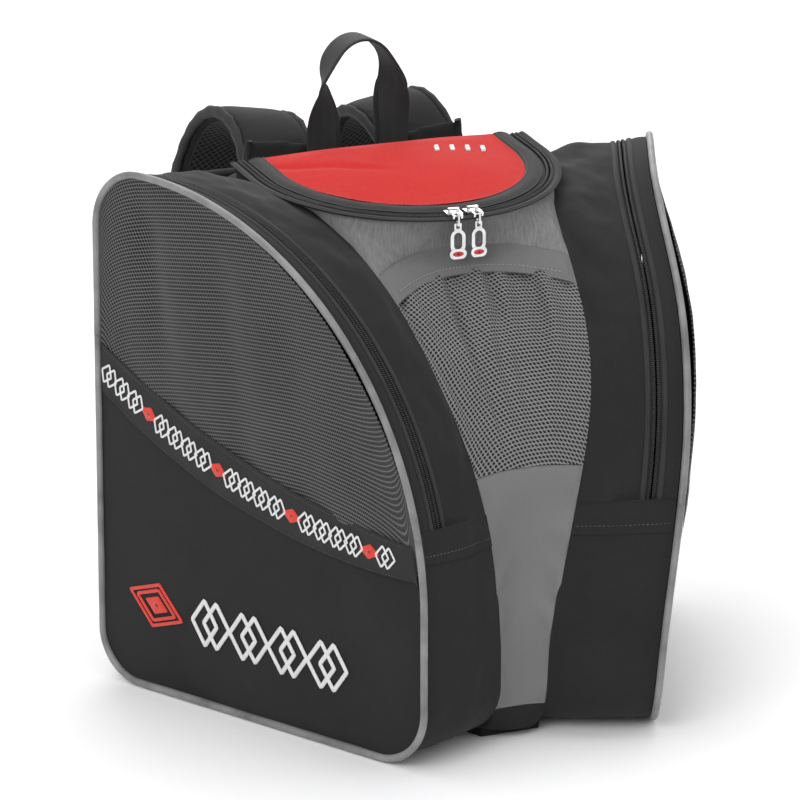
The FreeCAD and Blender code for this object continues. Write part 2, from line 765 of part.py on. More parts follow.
def group(name, parts):
    """Several separate solids, or several that are fused, under one label."""
    item = document.addObject("Part::MultiFuse", name)
    item.Shapes = parts
    item.Label = name
    nodes.append(item)
    return item


def handle():
    body = new_body("carry_handle")
    sketch = new_sketch(body, "XZ_Plane", "-handle_y")
    outer = "(handle_inner + webbing)"
    draw(sketch, [
        (f"-{outer}", "handle_foot"),
        ("-handle_inner", "handle_foot"),
        ("-handle_inner", "handle_spring", "0", "handle_spring", -1),
        ("handle_inner", "handle_spring"),
        ("handle_inner", "handle_foot"),
        (outer, "handle_foot"),
        (outer, "handle_spring", "0", "handle_spring", 1),
        (f"-{outer}", "handle_spring"),
    ])
    pad(body, sketch, "handle_thickness", reversed_=True)
    tabs = []
    for side in SIDES:
        x = "-handle_inner - webbing" if side == "left" else "handle_inner"
        tabs.append(box(f"handle_tab_{side}", x, "handle_y", "handle_tab_low", "webbing",
                        "handle_thickness", "handle_tab_high - handle_tab_low"))
    group("handle_ends", tabs)


def strap_ends():
    """The flat sewn ends of both straps, on the back panel."""
    face = "back_y + cloth + gap"
    ends = []
    for side in SIDES:
        sign = mirror_sign(side)
        ends.append(box(f"upper_end_{side}", f"{sign} * strap_high_x - strap_width / 2",
                        "handle_y + handle_thickness + gap", "strap_end_low", "strap_width",
                        "strap_end_thickness", "strap_end_height"))
        ends.append(box(f"lower_end_{side}", f"{sign} * strap_low_x - strap_webbing / 2 - patch_margin",
                        face, "strap_low_z - patch_drop", "strap_webbing + 2 * patch_margin",
                        "patch_thickness", "patch_height"))
    group("strap_ends", ends)


STRAP_RISE = "(strap_high_z - strap_low_z)"
STRAP_LEAN = f"atan((strap_low_x - strap_high_x) / {STRAP_RISE})"


def strap_body(name, side):
    """A body whose z axis is the line through a strap's two ends."""
    body = new_body(f"{name}_{side}")
    sign = mirror_sign(side)
    place(body, f"{sign} * strap_low_x", "strap_y", "strap_low_z", axis=Vector(0, 1, 0),
          angle=f"-{sign} * {STRAP_LEAN}".replace("--1", "1"))
    return body


def on_arc(centre_y, centre_z, radius, angle):
    return f"{centre_y} + ({radius}) * cos({angle})", f"{centre_z} + ({radius}) * sin({angle})"


SWEEP_Y = "(arch_y + (arch_radius - sweep_radius) * cos(arch_end))"
SWEEP_Z = "(arch_z + (arch_radius - sweep_radius) * sin(arch_end))"
TAIL_Y = f"({SWEEP_Y} + sweep_radius * cos(sweep_end) + strap_tail * sin(sweep_end))"
TAIL_Z = f"({SWEEP_Z} + sweep_radius * sin(sweep_end) - strap_tail * cos(sweep_end))"


def strap_edge(offset):
    """One face of the padded strap, from its upper end to its lower end."""
    start = on_arc("arch_y", "arch_z", f"arch_radius + {offset}", "arch_start")
    middle = on_arc("arch_y", "arch_z", f"arch_radius + {offset}", "arch_end")
    end = on_arc(SWEEP_Y, SWEEP_Z, f"sweep_radius + {offset}", "sweep_end")
    tail = (f"{end[0]} + strap_tail * sin(sweep_end)", f"{end[1]} - strap_tail * cos(sweep_end)")
    return start, middle, end, tail


def strap(side):
    body = strap_body("shoulder_strap", side)
    sketch = new_sketch(body, "YZ_Plane")
    start, middle, end, tail = strap_edge("strap_thickness / 2")
    inner_start, inner_middle, inner_end, inner_tail = strap_edge("-strap_thickness / 2")
    draw(sketch, [
        start + ("arch_y", "arch_z", -1),
        middle + (SWEEP_Y, SWEEP_Z, -1),
        end,
        tail,
        inner_tail,
        inner_end + (SWEEP_Y, SWEEP_Z, 1),
        inner_middle + ("arch_y", "arch_z", 1),
        inner_start,
    ])
    pad(body, sketch, "strap_width", middle=True)

    lock = strap_body("ladder_lock", side)
    sketch = new_sketch(lock, "YZ_Plane")
    run_y, run_z = "sin(sweep_end)", "-cos(sweep_end)"
    across_y, across_z = "cos(sweep_end)", "sin(sweep_end)"
    corners = []
    for forwards, sideways in ((0.3, -3), (0.3, 3), ("lock_length", 3), ("lock_length", -3)):
        corners.append((f"{TAIL_Y} + {forwards} * {run_y} + {sideways} * {across_y}",
                        f"{TAIL_Z} + {forwards} * {run_z} + {sideways} * {across_z}"))
    draw(sketch, corners)
    pad(lock, sketch, "strap_webbing + 10", middle=True)

    webbing = strap_body("strap_webbing", side)
    sketch = new_sketch(webbing, "YZ_Plane")
    top_y = f"({TAIL_Y} + (lock_length + 0.6) * {run_y})"
    top_z = f"({TAIL_Z} + (lock_length + 0.6) * {run_z})"
    draw(sketch, [
        (f"{top_y} - 1.2", f"{top_z} + 1"), ("4", "10"), ("5.5", "7.5"), (f"{top_y} + 1.2", f"{top_z} - 1"),
    ])
    pad(webbing, sketch, "strap_webbing", middle=True)


# ---------------------------------------------------------------- sliders, links and pulls

def slider_parts(name, bail_along, grip_start="-slider_width / 2"):
    """Boxes and a bar of one slider, in a frame with x along the zipper and z out of it.

    bail_along is True when the hanging bar stands ahead of the slider, and False when it
    stands to the side of the zipper. The lower plate grips one half of the zipper only:
    grip_start is where it starts across the zipper.
    """
    parts = [
        box(f"{name}_plate", "-slider_length / 2", "-slider_width / 2", "tape_high + gap",
            "slider_length", "slider_width", "plate_thickness"),
        box(f"{name}_post", "-post_length / 2", "-coil_gap / 2", "under_thickness - under_low",
            "post_length", "coil_gap", "under_low - under_thickness + tape_high + 2 * gap"),
        box(f"{name}_under", "-slider_length / 2 + 0.5", grip_start, "-under_low",
            "slider_length - 1", "slider_width / 2 + 0.5", "under_thickness"),
    ]
    bridge = document.addObject("Part::Cut", f"{name}_bridge")
    floor = "tape_high + plate_thickness"
    bridge.Base = box(f"{name}_arch", "-bridge_length / 2", "-bridge_width / 2", floor,
                      "bridge_length", "bridge_width", "bridge_height")
    bridge.Tool = box(f"{name}_eye", "bridge_wall - bridge_length / 2", "-bridge_width", f"{floor} + 0.4",
                      "bridge_length - 2 * bridge_wall", "2 * bridge_width", "bridge_height - 1.8")
    parts.append(bridge)
    for index, offset in enumerate(("-arm_at - arm_thickness", "arm_at")):
        start = "slider_width / 2 - 1"
        if bail_along:
            parts.append(box(f"{name}_arm{index}", "slider_length / 2 - 1", offset, "tape_high + gap",
                             "bail_reach - slider_length / 2 + 2", "arm_thickness", "bail_height - gap"))
        else:
            parts.append(box(f"{name}_arm{index}", offset, start, "tape_high + gap",
                             "arm_thickness", f"bail_reach - ({start}) + 1", "bail_height - gap"))
    bar = document.addObject("Part::Cylinder", f"{name}_bar")
    bind(bar, "Radius", "bar_radius")
    bind(bar, "Height", "2 * bar_half")
    if bail_along:
        place(bar, "bail_reach", "bar_half", "bail_height", axis=Vector(1, 0, 0), angle="90")
    else:
        place(bar, "-bar_half", "bail_reach", "bail_height", axis=Vector(0, 1, 0), angle="90")
    parts.append(bar)
    return parts


def main_slider(side):
    sign = mirror_sign(side)
    slider = group(f"main_slider_{side}", slider_parts(f"main_{side}", bail_along=False))
    lean = Rotation(Vector(1, 0, 0), number("lean"))
    turn = Rotation(Vector(0, 0, 1), 180 + number(f"{sign} * slider_at"))
    spot = Vector(number("zip_radius * sin(slider_at)") * number(sign),
                  number("-zip_radius * cos(slider_at)"), 0)
    centre = Vector(0, number("zip_y"), number("zip_z"))
    slider.Placement = Placement(centre + lean.multVec(spot), lean.multiply(turn))
    return slider


def hanging_frame(side):
    """Where a main slider's hanging bar is, and the turn that faces the pull outwards."""
    sign = mirror_sign(side)
    reach = "(zip_radius + bail_reach)"
    x = f"{sign} * {reach} * sin(slider_at)"
    y = f"zip_y - {reach} * cos(slider_at) * cos(lean) - bail_height * sin(lean)"
    z = f"zip_z - {reach} * cos(slider_at) * sin(lean) + bail_height * cos(lean)"
    return x, y, z, f"{sign} * slider_at"


def link(name, x, y, z, angle):
    """A closed wire link: a long ring hanging from the slider's bar."""
    body = new_body(name)
    sketch = new_sketch(body, "YZ_Plane")
    for radius in ("link_rim", "link_bore"):
        draw(sketch, [
            (radius, "-link_drop"), (radius, "0", "0", "0", 1),
            (f"-{radius}", "0"), (f"-{radius}", "-link_drop", "0", "-link_drop", 1),
        ])
    pad(body, sketch, "link_thickness", middle=True)
    place(body, x, y, z, angle=angle)


def stadium(radius, low, high):
    return [
        (radius, low), (radius, high, "0", high, 1),
        (f"-({radius})", high), (f"-({radius})", low, "0", low, 1),
    ]


def pull(name, x, y, z, angle, rolled=False):
    """A pull with an open oval and a thicker end cap, hanging from z = 0.

    It hangs by an open eye, or by an end that is rolled round the bar at z = 0.
    """
    body = new_body(name)
    if rolled:
        ring = new_sketch(body, "YZ_Plane")
        draw_circle(ring, "0", "0", "knuckle_rim")
        draw_circle(ring, "0", "0", "knuckle_bore")
        pad(body, ring, "knuckle_width", middle=True)
        stem = new_sketch(body, "XZ_Plane")
        draw(stem, rectangle("-knuckle_width / 2", "knuckle_width / 2", "-eye_drop",
                             "-(knuckle_bore + knuckle_rim) / 2"))
        pad(body, stem, "pull_thickness", middle=True)
    else:
        eye = new_sketch(body, "XZ_Plane")
        draw(eye, rectangle("-eye_half", "eye_half", "-eye_drop", "eye_top"))
        draw(eye, rectangle("eye_rim - eye_half", "eye_half - eye_rim", "eye_floor - eye_drop", "-eye_top"))
        pad(body, eye, "pull_thickness", middle=True)
    oval = new_sketch(body, "XZ_Plane")
    draw(oval, stadium("pull_radius", "-oval_low", "-oval_high"))
    draw(oval, stadium("pull_radius - oval_rim", "0.5 - oval_low", "0.2 - oval_high"))
    pad(body, oval, "pull_thickness + 0.6", middle=True)
    cap = new_sketch(body, "XZ_Plane")
    draw(cap, [
        ("-cap_half", "-cap_centre - cap_radius"),
        ("cap_half", "-cap_centre - cap_radius", "cap_half", "-cap_centre", 1),
        ("cap_half", "cap_radius - cap_centre"),
        ("-cap_half", "cap_radius - cap_centre", "-cap_half", "-cap_centre", 1),
    ])
    pad(body, cap, "pull_thickness + 1.6", middle=True)
    place(body, x, y, z, angle=angle)


def main_pulls(side):
    main_slider(side)
    x, y, z, angle = hanging_frame(side)
    link(f"slider_link_{side}", x, y, z, angle)
    pull(f"main_pull_{side}", x, y, f"{z} - link_drop", angle)


def side_slider(side):
    """A slider parked low on the rear end of a boot pocket, with its pull hanging down."""
    grip_start = "-slider_width / 2" if side == "left" else "-0.5"
    slider = group(f"side_slider_{side}", slider_parts(f"side_{side}", True, grip_start))
    heading = number("splay - 90" if side == "left" else "-90 - splay")
    upright = Rotation(Vector(0, 0, 1), heading)
    inwards = 1 if side == "left" else -1
    along = Vector(0, 0, -1)
    out = upright.multVec(Vector(-1, 0, 0))
    across = upright.multVec(Vector(0, -inwards, 0))
    if along.cross(across).dot(out) < 0:
        across = -across
    basis = Rotation(along, across, out, "ZXY")
    spot = Vector(number(plan_x(side, "0.5", "coil_line")), number(plan_y("0.5", "coil_line")),
                  number("side_slider_z"))
    slider.Placement = Placement(spot, basis)
    drop = "side_slider_z - bail_reach"
    lift = "-bail_height + 0.5"
    angle = "splay + 180" if side == "left" else "180 - splay"
    pull(f"side_pull_{side}", plan_x(side, lift, "coil_line"), plan_y(lift, "coil_line"), drop, angle,
         rolled=True)


# ---------------------------------------------------------------- the whole bag

def build():
    base_panel()
    for side in SIDES:
        boot_pocket(side)
    front_walls()
    rear_yoke()
    back()
    lid()
    collar()
    handle()
    strap_ends()
    for side in SIDES:
        strap(side)
        main_pulls(side)
        side_slider(side)
    document.recompute()


def write():
    for item in document.Objects:
        if "Invalid" in item.State or "Error" in item.State:
            raise RuntimeError(f"{item.Name} failed: {item.State}")
    for node in nodes:
        if node.Shape.isNull() or not node.Shape.isValid():
            raise RuntimeError(f"{node.Label} has no valid shape")
    os.makedirs("parts", exist_ok=True)
    for node in nodes:
        node.Shape.exportStep(f"parts/{node.Label}.step")
        print(f"{node.Label}: {len(node.Shape.Solids)} solid(s), {node.Shape.Volume / 1000:.1f} cm3")


build()
write()
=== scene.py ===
"""Looks of a backpack for ski boots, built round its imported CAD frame.

Lengths in the tables and helpers below are in millimetres and become metres when a mesh is made.
Each boot pocket is drawn in its own upright plane, as in the CAD model: s runs forwards along the
side panel from the rear seam, depth runs inwards from that panel, and z is up.
"""

import math

import bpy
import numpy as np
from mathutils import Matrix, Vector, noise


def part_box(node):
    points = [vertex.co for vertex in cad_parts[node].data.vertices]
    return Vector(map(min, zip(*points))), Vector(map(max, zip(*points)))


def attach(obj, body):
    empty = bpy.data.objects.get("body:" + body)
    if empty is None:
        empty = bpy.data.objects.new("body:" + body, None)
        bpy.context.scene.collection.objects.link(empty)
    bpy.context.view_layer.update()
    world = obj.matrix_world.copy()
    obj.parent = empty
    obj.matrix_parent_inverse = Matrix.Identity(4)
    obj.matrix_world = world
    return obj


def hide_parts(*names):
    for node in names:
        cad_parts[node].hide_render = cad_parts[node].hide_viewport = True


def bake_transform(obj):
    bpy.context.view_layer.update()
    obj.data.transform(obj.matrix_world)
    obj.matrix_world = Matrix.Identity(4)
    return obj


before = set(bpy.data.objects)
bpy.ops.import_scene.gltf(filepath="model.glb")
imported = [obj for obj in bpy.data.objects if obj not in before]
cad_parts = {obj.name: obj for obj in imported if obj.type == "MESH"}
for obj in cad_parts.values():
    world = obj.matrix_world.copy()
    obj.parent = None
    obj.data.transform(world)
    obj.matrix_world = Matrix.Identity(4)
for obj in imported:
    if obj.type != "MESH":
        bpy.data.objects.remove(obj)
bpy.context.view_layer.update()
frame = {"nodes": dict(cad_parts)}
MM = 0.001
SIDES = ("left", "right")

# ---------------------------------------------------------------- driving dimensions, mm

LENGTH = 342            # side panel, rear seam to front
SPRING = 124            # height where the big arch starts
BOTTOM = 3.2            # underside of the pockets
FRONT_FOOT = 45         # lower front corner of the outline
REAR_FOOT = 40          # lower rear corner
CORNER_OUT = 46         # upper rear corner at the side panel
CORNER_IN = 60          # upper rear corner at the divider
DEPTH = 88              # pocket, side panel to divider
SPLAY = math.radians(23.6)
PANEL_X = 242           # rear seam of a side panel
SEAM_Y = 140
FOLD_REAR = 285         # height of the door's fold line at the rear
FRONT_SEAM = 187        # height of the seam across the front gusset
COIL_DEPTH = 23         # middle line of a side zipper
ZIP_CENTRE = (0.0, 101.0, 407.4)
ZIP_LEAN = math.radians(7)
ZIP_LEG = 38            # straight part of the lid behind the arc
HINGE_Y = 140

SPLAY_SIN, SPLAY_COS = math.sin(SPLAY), math.cos(SPLAY)


def sign_of(side):
    return -1.0 if side == "left" else 1.0


def frame_point(side, s, depth, z):
    """A point of the CAD pocket, from its own coordinates."""
    x = sign_of(side) * (PANEL_X - s * SPLAY_SIN - depth * SPLAY_COS)
    y = SEAM_Y - s * SPLAY_COS + depth * SPLAY_SIN
    return np.stack(np.broadcast_arrays(x, y, z), -1)


def ease(value):
    """A smooth step from 0 to 1."""
    value = np.clip(value, 0, 1)
    return value * value * (3 - 2 * value)


# The cloth of the right pocket leans: in at its foot, out at mid height, in and down at its top.
LEAN_HEIGHTS = (0, 60, 120, 180, 240, 300, 350, 400, 430)
LEAN_OUT = (-13, -8, -1, 7, 14, 14, 8, -3, -6)


def slack(points):
    """Points of the right pocket, moved as its slack cloth leans, away from its rear seam."""
    x, y, z = np.moveaxis(points, -1, 0)
    lean = sum(np.interp(z + shift, LEAN_HEIGHTS, LEAN_OUT) for shift in (-24, -12, 0, 12, 24)) / 5
    lean = lean * ease((x + 10) / 60) * ease((150 - y) / 150)
    drop = 12 * ease((z - 300) / 110) * ease((x - 90) / 60)
    return np.stack([x + lean, y, z - drop], -1)


def pocket_point(side, s, depth, z):
    """A point of a pocket's cloth."""
    points = frame_point(side, s, depth, z)
    return points if side == "left" else slack(points)


def outline(depth, station, grow=0.0):
    """(s, z) on the pocket's outline at some depth, moved outwards by grow.

    station 0 is the middle of the base. It passes the front foot (1 to 2), the front (to 3), the
    arch (to 4), the upper rear corner (to 5), the rear (to 6) and the rear foot (to 7) to 8.
    """
    depth, station, grow = np.broadcast_arrays(np.asarray(depth, float), np.asarray(station, float),
                                               np.asarray(grow, float))
    corner = CORNER_OUT + (CORNER_IN - CORNER_OUT) * depth / DEPTH
    part = np.clip(np.floor(station), 0, 7).astype(int)
    share = station - part
    middle = 150.0
    right = math.pi / 2
    apex = SPRING + LENGTH - corner
    arch = LENGTH - corner + grow
    options_s = [
        middle + share * (LENGTH - FRONT_FOOT - middle),
        LENGTH - FRONT_FOOT + (FRONT_FOOT + grow) * np.sin(share * right),
        LENGTH + grow + 0 * share,
        corner + arch * np.cos(share * right),
        corner - (corner + grow) * np.sin(share * right),
        -grow + 0 * share,
        REAR_FOOT - (REAR_FOOT + grow) * np.cos(share * right),
        REAR_FOOT + share * (middle - REAR_FOOT),
    ]
    foot = np.minimum(grow, 0)
    options_z = [
        BOTTOM - foot + 0 * share,
        BOTTOM + FRONT_FOOT - (FRONT_FOOT + foot) * np.cos(share * right),
        BOTTOM + FRONT_FOOT + share * (SPRING - BOTTOM - FRONT_FOOT),
        SPRING + arch * np.sin(share * right),
        apex - corner + (corner + grow) * np.cos(share * right),
        apex - corner - share * (apex - corner - BOTTOM - REAR_FOOT),
        BOTTOM + REAR_FOOT - (REAR_FOOT + foot) * np.sin(share * right),
        BOTTOM - foot + 0 * share,
    ]
    return np.choose(part, options_s), np.choose(part, options_z)


SEAM_STATIONS = (0, 2.4, 2.95, 3.13, 3.27, 3.39, 3.55, 3.66, 3.75, 3.9, 4.3, 5, 8)
SEAM_DEPTHS = (90, 90, 86.5, 79, 75, 71.5, 78, 83, 87.5, 91, 90, 88, 88)


def seam_depth(station):
    """Depth of the gusset's inner seam, which swings outwards where the mesh pocket pulls at it."""
    return sum(np.interp(station + shift, SEAM_STATIONS, SEAM_DEPTHS) for shift in (-0.08, -0.04, 0, 0.04,
                                                                                    0.08)) / 5


def station_at(z):
    """The station at height z on the front half of the outline."""
    z = np.asarray(z, float)
    arch = np.arcsin(np.clip((z - SPRING) / (LENGTH - CORNER_OUT), 0, 1)) / (math.pi / 2)
    foot = np.arccos(np.clip(1 - (z - BOTTOM) / FRONT_FOOT, 0, 1)) / (math.pi / 2)
    rise = (z - BOTTOM - FRONT_FOOT) / (SPRING - BOTTOM - FRONT_FOOT)
    return np.where(z > SPRING, 3 + arch, np.where(z > BOTTOM + FRONT_FOOT, 2 + rise, 1 + foot))


def seam_point(side, station):
    """A point on a gusset's inner seam."""
    depth = seam_depth(station)
    s, z = outline(depth, station)
    return pocket_point(side, s, depth, z)


def front_station(z):
    """The station where the outline passes height z on its way up the front."""
    return 3 + math.asin((z - SPRING) / (LENGTH - CORNER_OUT)) / (math.pi / 2)


def rear_station(z):
    """The station where the outline passes height z on its way down the rear."""
    top = SPRING + LENGTH - 2 * CORNER_OUT
    return 5 + (top - z) / (top - BOTTOM - REAR_FOOT)


def lid_point(radius, turn, lift=0.0):
    """A point of the lid's U. turn runs from -1, the left leg's rear end, to 1, the right one's."""
    radius, turn, lift = np.broadcast_arrays(np.asarray(radius, float), np.asarray(turn, float),
                                             np.asarray(lift, float))
    leg_share = 0.15
    along = np.clip((1 - np.abs(turn)) / leg_share, 0, 1)
    angle = np.sign(turn) * np.clip(np.abs(turn) / (1 - leg_share), 0, 1) * math.pi / 2
    x = radius * np.sin(angle)
    y = np.where(np.abs(turn) > 1 - leg_share, ZIP_LEG * (1 - along), -radius * np.cos(angle))
    return lean_point(x, y, lift)


def lean_point(x, y, lift):
    """From the lid's own tilted frame to the bag's."""
    cos, sin = math.cos(ZIP_LEAN), math.sin(ZIP_LEAN)
    return np.stack(np.broadcast_arrays(ZIP_CENTRE[0] + x, ZIP_CENTRE[1] + y * cos - lift * sin,
                                        ZIP_CENTRE[2] + y * sin + lift * cos), -1)


def inner_half_width(y):
    """Half of the room between the two dividers."""
    return 161.4 - 0.4368 * (175.2 - y)


# ---------------------------------------------------------------- mesh helpers

def rough(points, size, seed):
    """Smooth noise from -1 to 1 at each point, for folds of about size mm."""
    flat = np.asarray(points, float).reshape(-1, 3) / size + seed * 7.31
    values = [noise.noise(Vector(p)) for p in flat]
    return np.array(values).reshape(np.shape(points)[:-1])


def grid_normals(grid, away):
    """Unit normals of a grid of points, turned away from a point."""
    normals = np.cross(np.gradient(grid, axis=0), np.gradient(grid, axis=1))
    normals /= np.maximum(np.linalg.norm(normals, axis=-1, keepdims=True), 1e-9)
    if np.sum((grid - np.array(away)) * normals) < 0:
        normals = -normals
    return normals


def free_name(name):
    """A piece's own name, apart from the CAD node that it stands for."""
    return f"{name}_made" if name in frame["nodes"] else name


def add_mesh(name, points, faces, uvs=None, material=None):
    name = free_name(name)
    mesh = bpy.data.meshes.new(name)
    mesh.from_pydata((np.asarray(points, float) * MM).tolist(), [], [list(map(int, f)) for f in faces])
    mesh.validate()
    if uvs is not None:
        layer = mesh.uv_layers.new(name="cloth")
        loops = np.zeros(len(mesh.loops), int)
        mesh.loops.foreach_get("vertex_index", loops)
        layer.data.foreach_set("uv", (np.asarray(uvs)[loops] * MM).astype(np.float32).ravel())
    mesh.polygons.foreach_set("use_smooth", [True] * len(mesh.polygons))
    piece = bpy.data.objects.new(name, mesh)
    bpy.context.scene.collection.objects.link(piece)
    if material is not None:
        mesh.materials.append(material)
    return piece


def grid_faces(rows, columns, wrap=False):
    """Quads of a grid, wrapping its columns round if asked."""
    index = np.arange(rows * columns).reshape(rows, columns)
    if wrap:
        index = np.concatenate([index, index[:, :1]], 1)
    quads = np.stack([index[:-1, :-1], index[1:, :-1], index[1:, 1:], index[:-1, 1:]], -1)
    return quads.reshape(-1, 4)


def cloth_uv(grid):
    """Lengths along a grid's columns and rows, so that a weave follows its folds."""
    down = np.linalg.norm(np.diff(grid, axis=0), axis=-1)
    over = np.linalg.norm(np.diff(grid, axis=1), axis=-1)
    v = np.concatenate([np.zeros((1, grid.shape[1])), np.cumsum(down, 0)])
    u = np.concatenate([np.zeros((grid.shape[0], 1)), np.cumsum(over, 1)], 1)
    middle_row, middle_column = grid.shape[0] // 2, grid.shape[1] // 2
    u = u - u[:, middle_column:middle_column + 1]
    v = v - v[middle_row:middle_row + 1, :]
    return np.stack([u, v], -1)


def cloth(name, grid, thickness, material, away=(0, 60, 200), uv=None):
    """A closed piece of cloth with its outer face on a grid of points."""
    grid = np.asarray(grid, float)
    rows, columns = grid.shape[:2]
    back = grid - grid_normals(grid, away) * thickness
    points = np.concatenate([grid.reshape(-1, 3), back.reshape(-1, 3)])
    quads = grid_faces(rows, columns)
    first = quads[len(quads) // 2]
    corner = points[first]
    facing = np.dot(np.cross(corner[1] - corner[0], corner[3] - corner[0]),
                    corner[0] - points[first[0] + rows * columns])
    if facing < 0:
        quads = quads[:, ::-1]
    index = np.arange(rows * columns).reshape(rows, columns)
    rim = np.concatenate([index[0, :], index[1:, -1], index[-1, -2::-1], index[-2:0:-1, 0]])
    following = np.roll(rim, -1)
    count = rows * columns
    sides = np.stack([rim, following, following + count, rim + count], -1)
    if facing > 0:
        sides = sides[:, ::-1]
    faces = np.concatenate([quads, quads[:, ::-1] + count, sides])
    flat = (cloth_uv(grid) if uv is None else uv).reshape(-1, 2)
    return add_mesh(name, points, faces, np.concatenate([flat, flat]), material)


def sweep(name, path, across, upward, shape, material, closed=False):
    """A tube whose section, a list of (across, upward) offsets, follows a path of points."""
    path, across, upward = (np.asarray(a, float) for a in (path, across, upward))
    shape = np.asarray(shape, float)
    if shape.ndim == 2:
        shape = np.broadcast_to(shape, (len(path),) + shape.shape)
    rings = path[:, None] + shape[..., :1] * across[:, None] + shape[..., 1:] * upward[:, None]
    rows, columns = rings.shape[:2]
    faces = grid_faces(rows, columns, wrap=True).tolist()
    if closed:
        last = (rows - 1) * columns
        faces += [[last + i, i, (i + 1) % columns, last + (i + 1) % columns] for i in range(columns)]
    else:
        faces += [list(range(columns))[::-1], list(range((rows - 1) * columns, rows * columns))]
    steps = np.linalg.norm(np.diff(path, axis=0), axis=-1)
    along = np.concatenate([[0], np.cumsum(steps)])
    edge = np.linalg.norm(shape - np.roll(shape, 1, axis=1), axis=-1)
    around = np.cumsum(edge, 1)
    uvs = np.stack([around, np.broadcast_to(along[:, None], around.shape)], -1).reshape(-1, 2)
    return add_mesh(name, rings.reshape(-1, 3), faces, uvs, material)


def join(name, pieces):
    """One object from several."""
    with bpy.context.temp_override(active_object=pieces[0], selected_editable_objects=pieces):
        bpy.ops.object.join()
    pieces[0].name = pieces[0].data.name = free_name(name)
    return pieces[0]


def tangents(path):
    steps = np.gradient(np.asarray(path, float), axis=0)
    return steps / np.maximum(np.linalg.norm(steps, axis=-1, keepdims=True), 1e-9)


def unit(v):
    v = np.asarray(v, float)
    return v / np.maximum(np.linalg.norm(v, axis=-1, keepdims=True), 1e-9)


def circle(radius, count=10, squash=1.0):
    turns = np.arange(count) * 2 * math.pi / count
    return np.stack([radius * np.cos(turns), radius * squash * np.sin(turns)], -1)


def resample(path, step):
    """Points at even steps along a path."""
    path = np.asarray(path, float)
    along = np.concatenate([[0], np.cumsum(np.linalg.norm(np.diff(path, axis=0), axis=-1))])
    count = max(2, int(round(along[-1] / step)) + 1)
    at = np.linspace(0, along[-1], count)
    return np.stack([np.interp(at, along, path[:, i]) for i in range(3)], -1)


def coil(name, path, outward, sideways, material, pitch=1.7, wire=0.42, wide=1.25, high=0.95):
    """One row of a coil zipper's teeth: a flattened spring along a path."""
    outward, sideways = np.asarray(outward, float), np.asarray(sideways, float)
    path = np.asarray(path, float)
    along = np.concatenate([[0], np.cumsum(np.linalg.norm(np.diff(path, axis=0), axis=-1))])
    per_turn = 8
    count = int(along[-1] / pitch) * per_turn + 1
    at = np.linspace(0, along[-1], count)

    def over(values):
        return np.stack([np.interp(at, along, values[:, i]) for i in range(3)], -1)

    turn = np.arange(count) * 2 * math.pi / per_turn
    side, out = unit(over(sideways)), unit(over(outward))
    line = over(path) + side * (wide * np.cos(turn))[:, None] + out * (high * np.sin(turn))[:, None]
    ahead = tangents(line)
    first = unit(np.cross(ahead, out + side))
    second = np.cross(ahead, first)
    return sweep(name, line, first, second, circle(wire, 5), material)


def stitches(name, path, outward, material, step=3.4, length=2.2, radius=0.32, sink=0.1):
    """A row of stitches along a path: small raised thread ends, each a closed bead."""
    path, outward = np.asarray(path, float), np.asarray(outward, float)
    along = np.concatenate([[0], np.cumsum(np.linalg.norm(np.diff(path, axis=0), axis=-1))])
    points, faces = [], []
    shares = np.array([0.0, 0.2, 0.5, 0.8, 1.0])
    girth = np.array([0.35, 0.85, 1.0, 0.85, 0.35])
    sides = 6
    for start in np.arange(step / 2, along[-1] - length, step):
        at = start + shares * length
        line = np.stack([np.interp(at, along, path[:, i]) for i in range(3)], -1)
        out = unit(np.stack([np.interp(at, along, outward[:, i]) for i in range(3)], -1))
        side = unit(np.cross(tangents(line), out))
        ring = circle(radius, sides)
        base = len(points)
        for i in range(len(at)):
            for a, b in ring * girth[i]:
                points.append(line[i] + side[i] * a + out[i] * (b - sink))
        faces += (grid_faces(len(at), sides, wrap=True) + base).tolist()
        faces.append([base + k for k in range(sides)][::-1])
        faces.append([base + (len(at) - 1) * sides + k for k in range(sides)])
    return add_mesh(name, points, faces, np.zeros((len(points), 2)), material)


# ---------------------------------------------------------------- materials

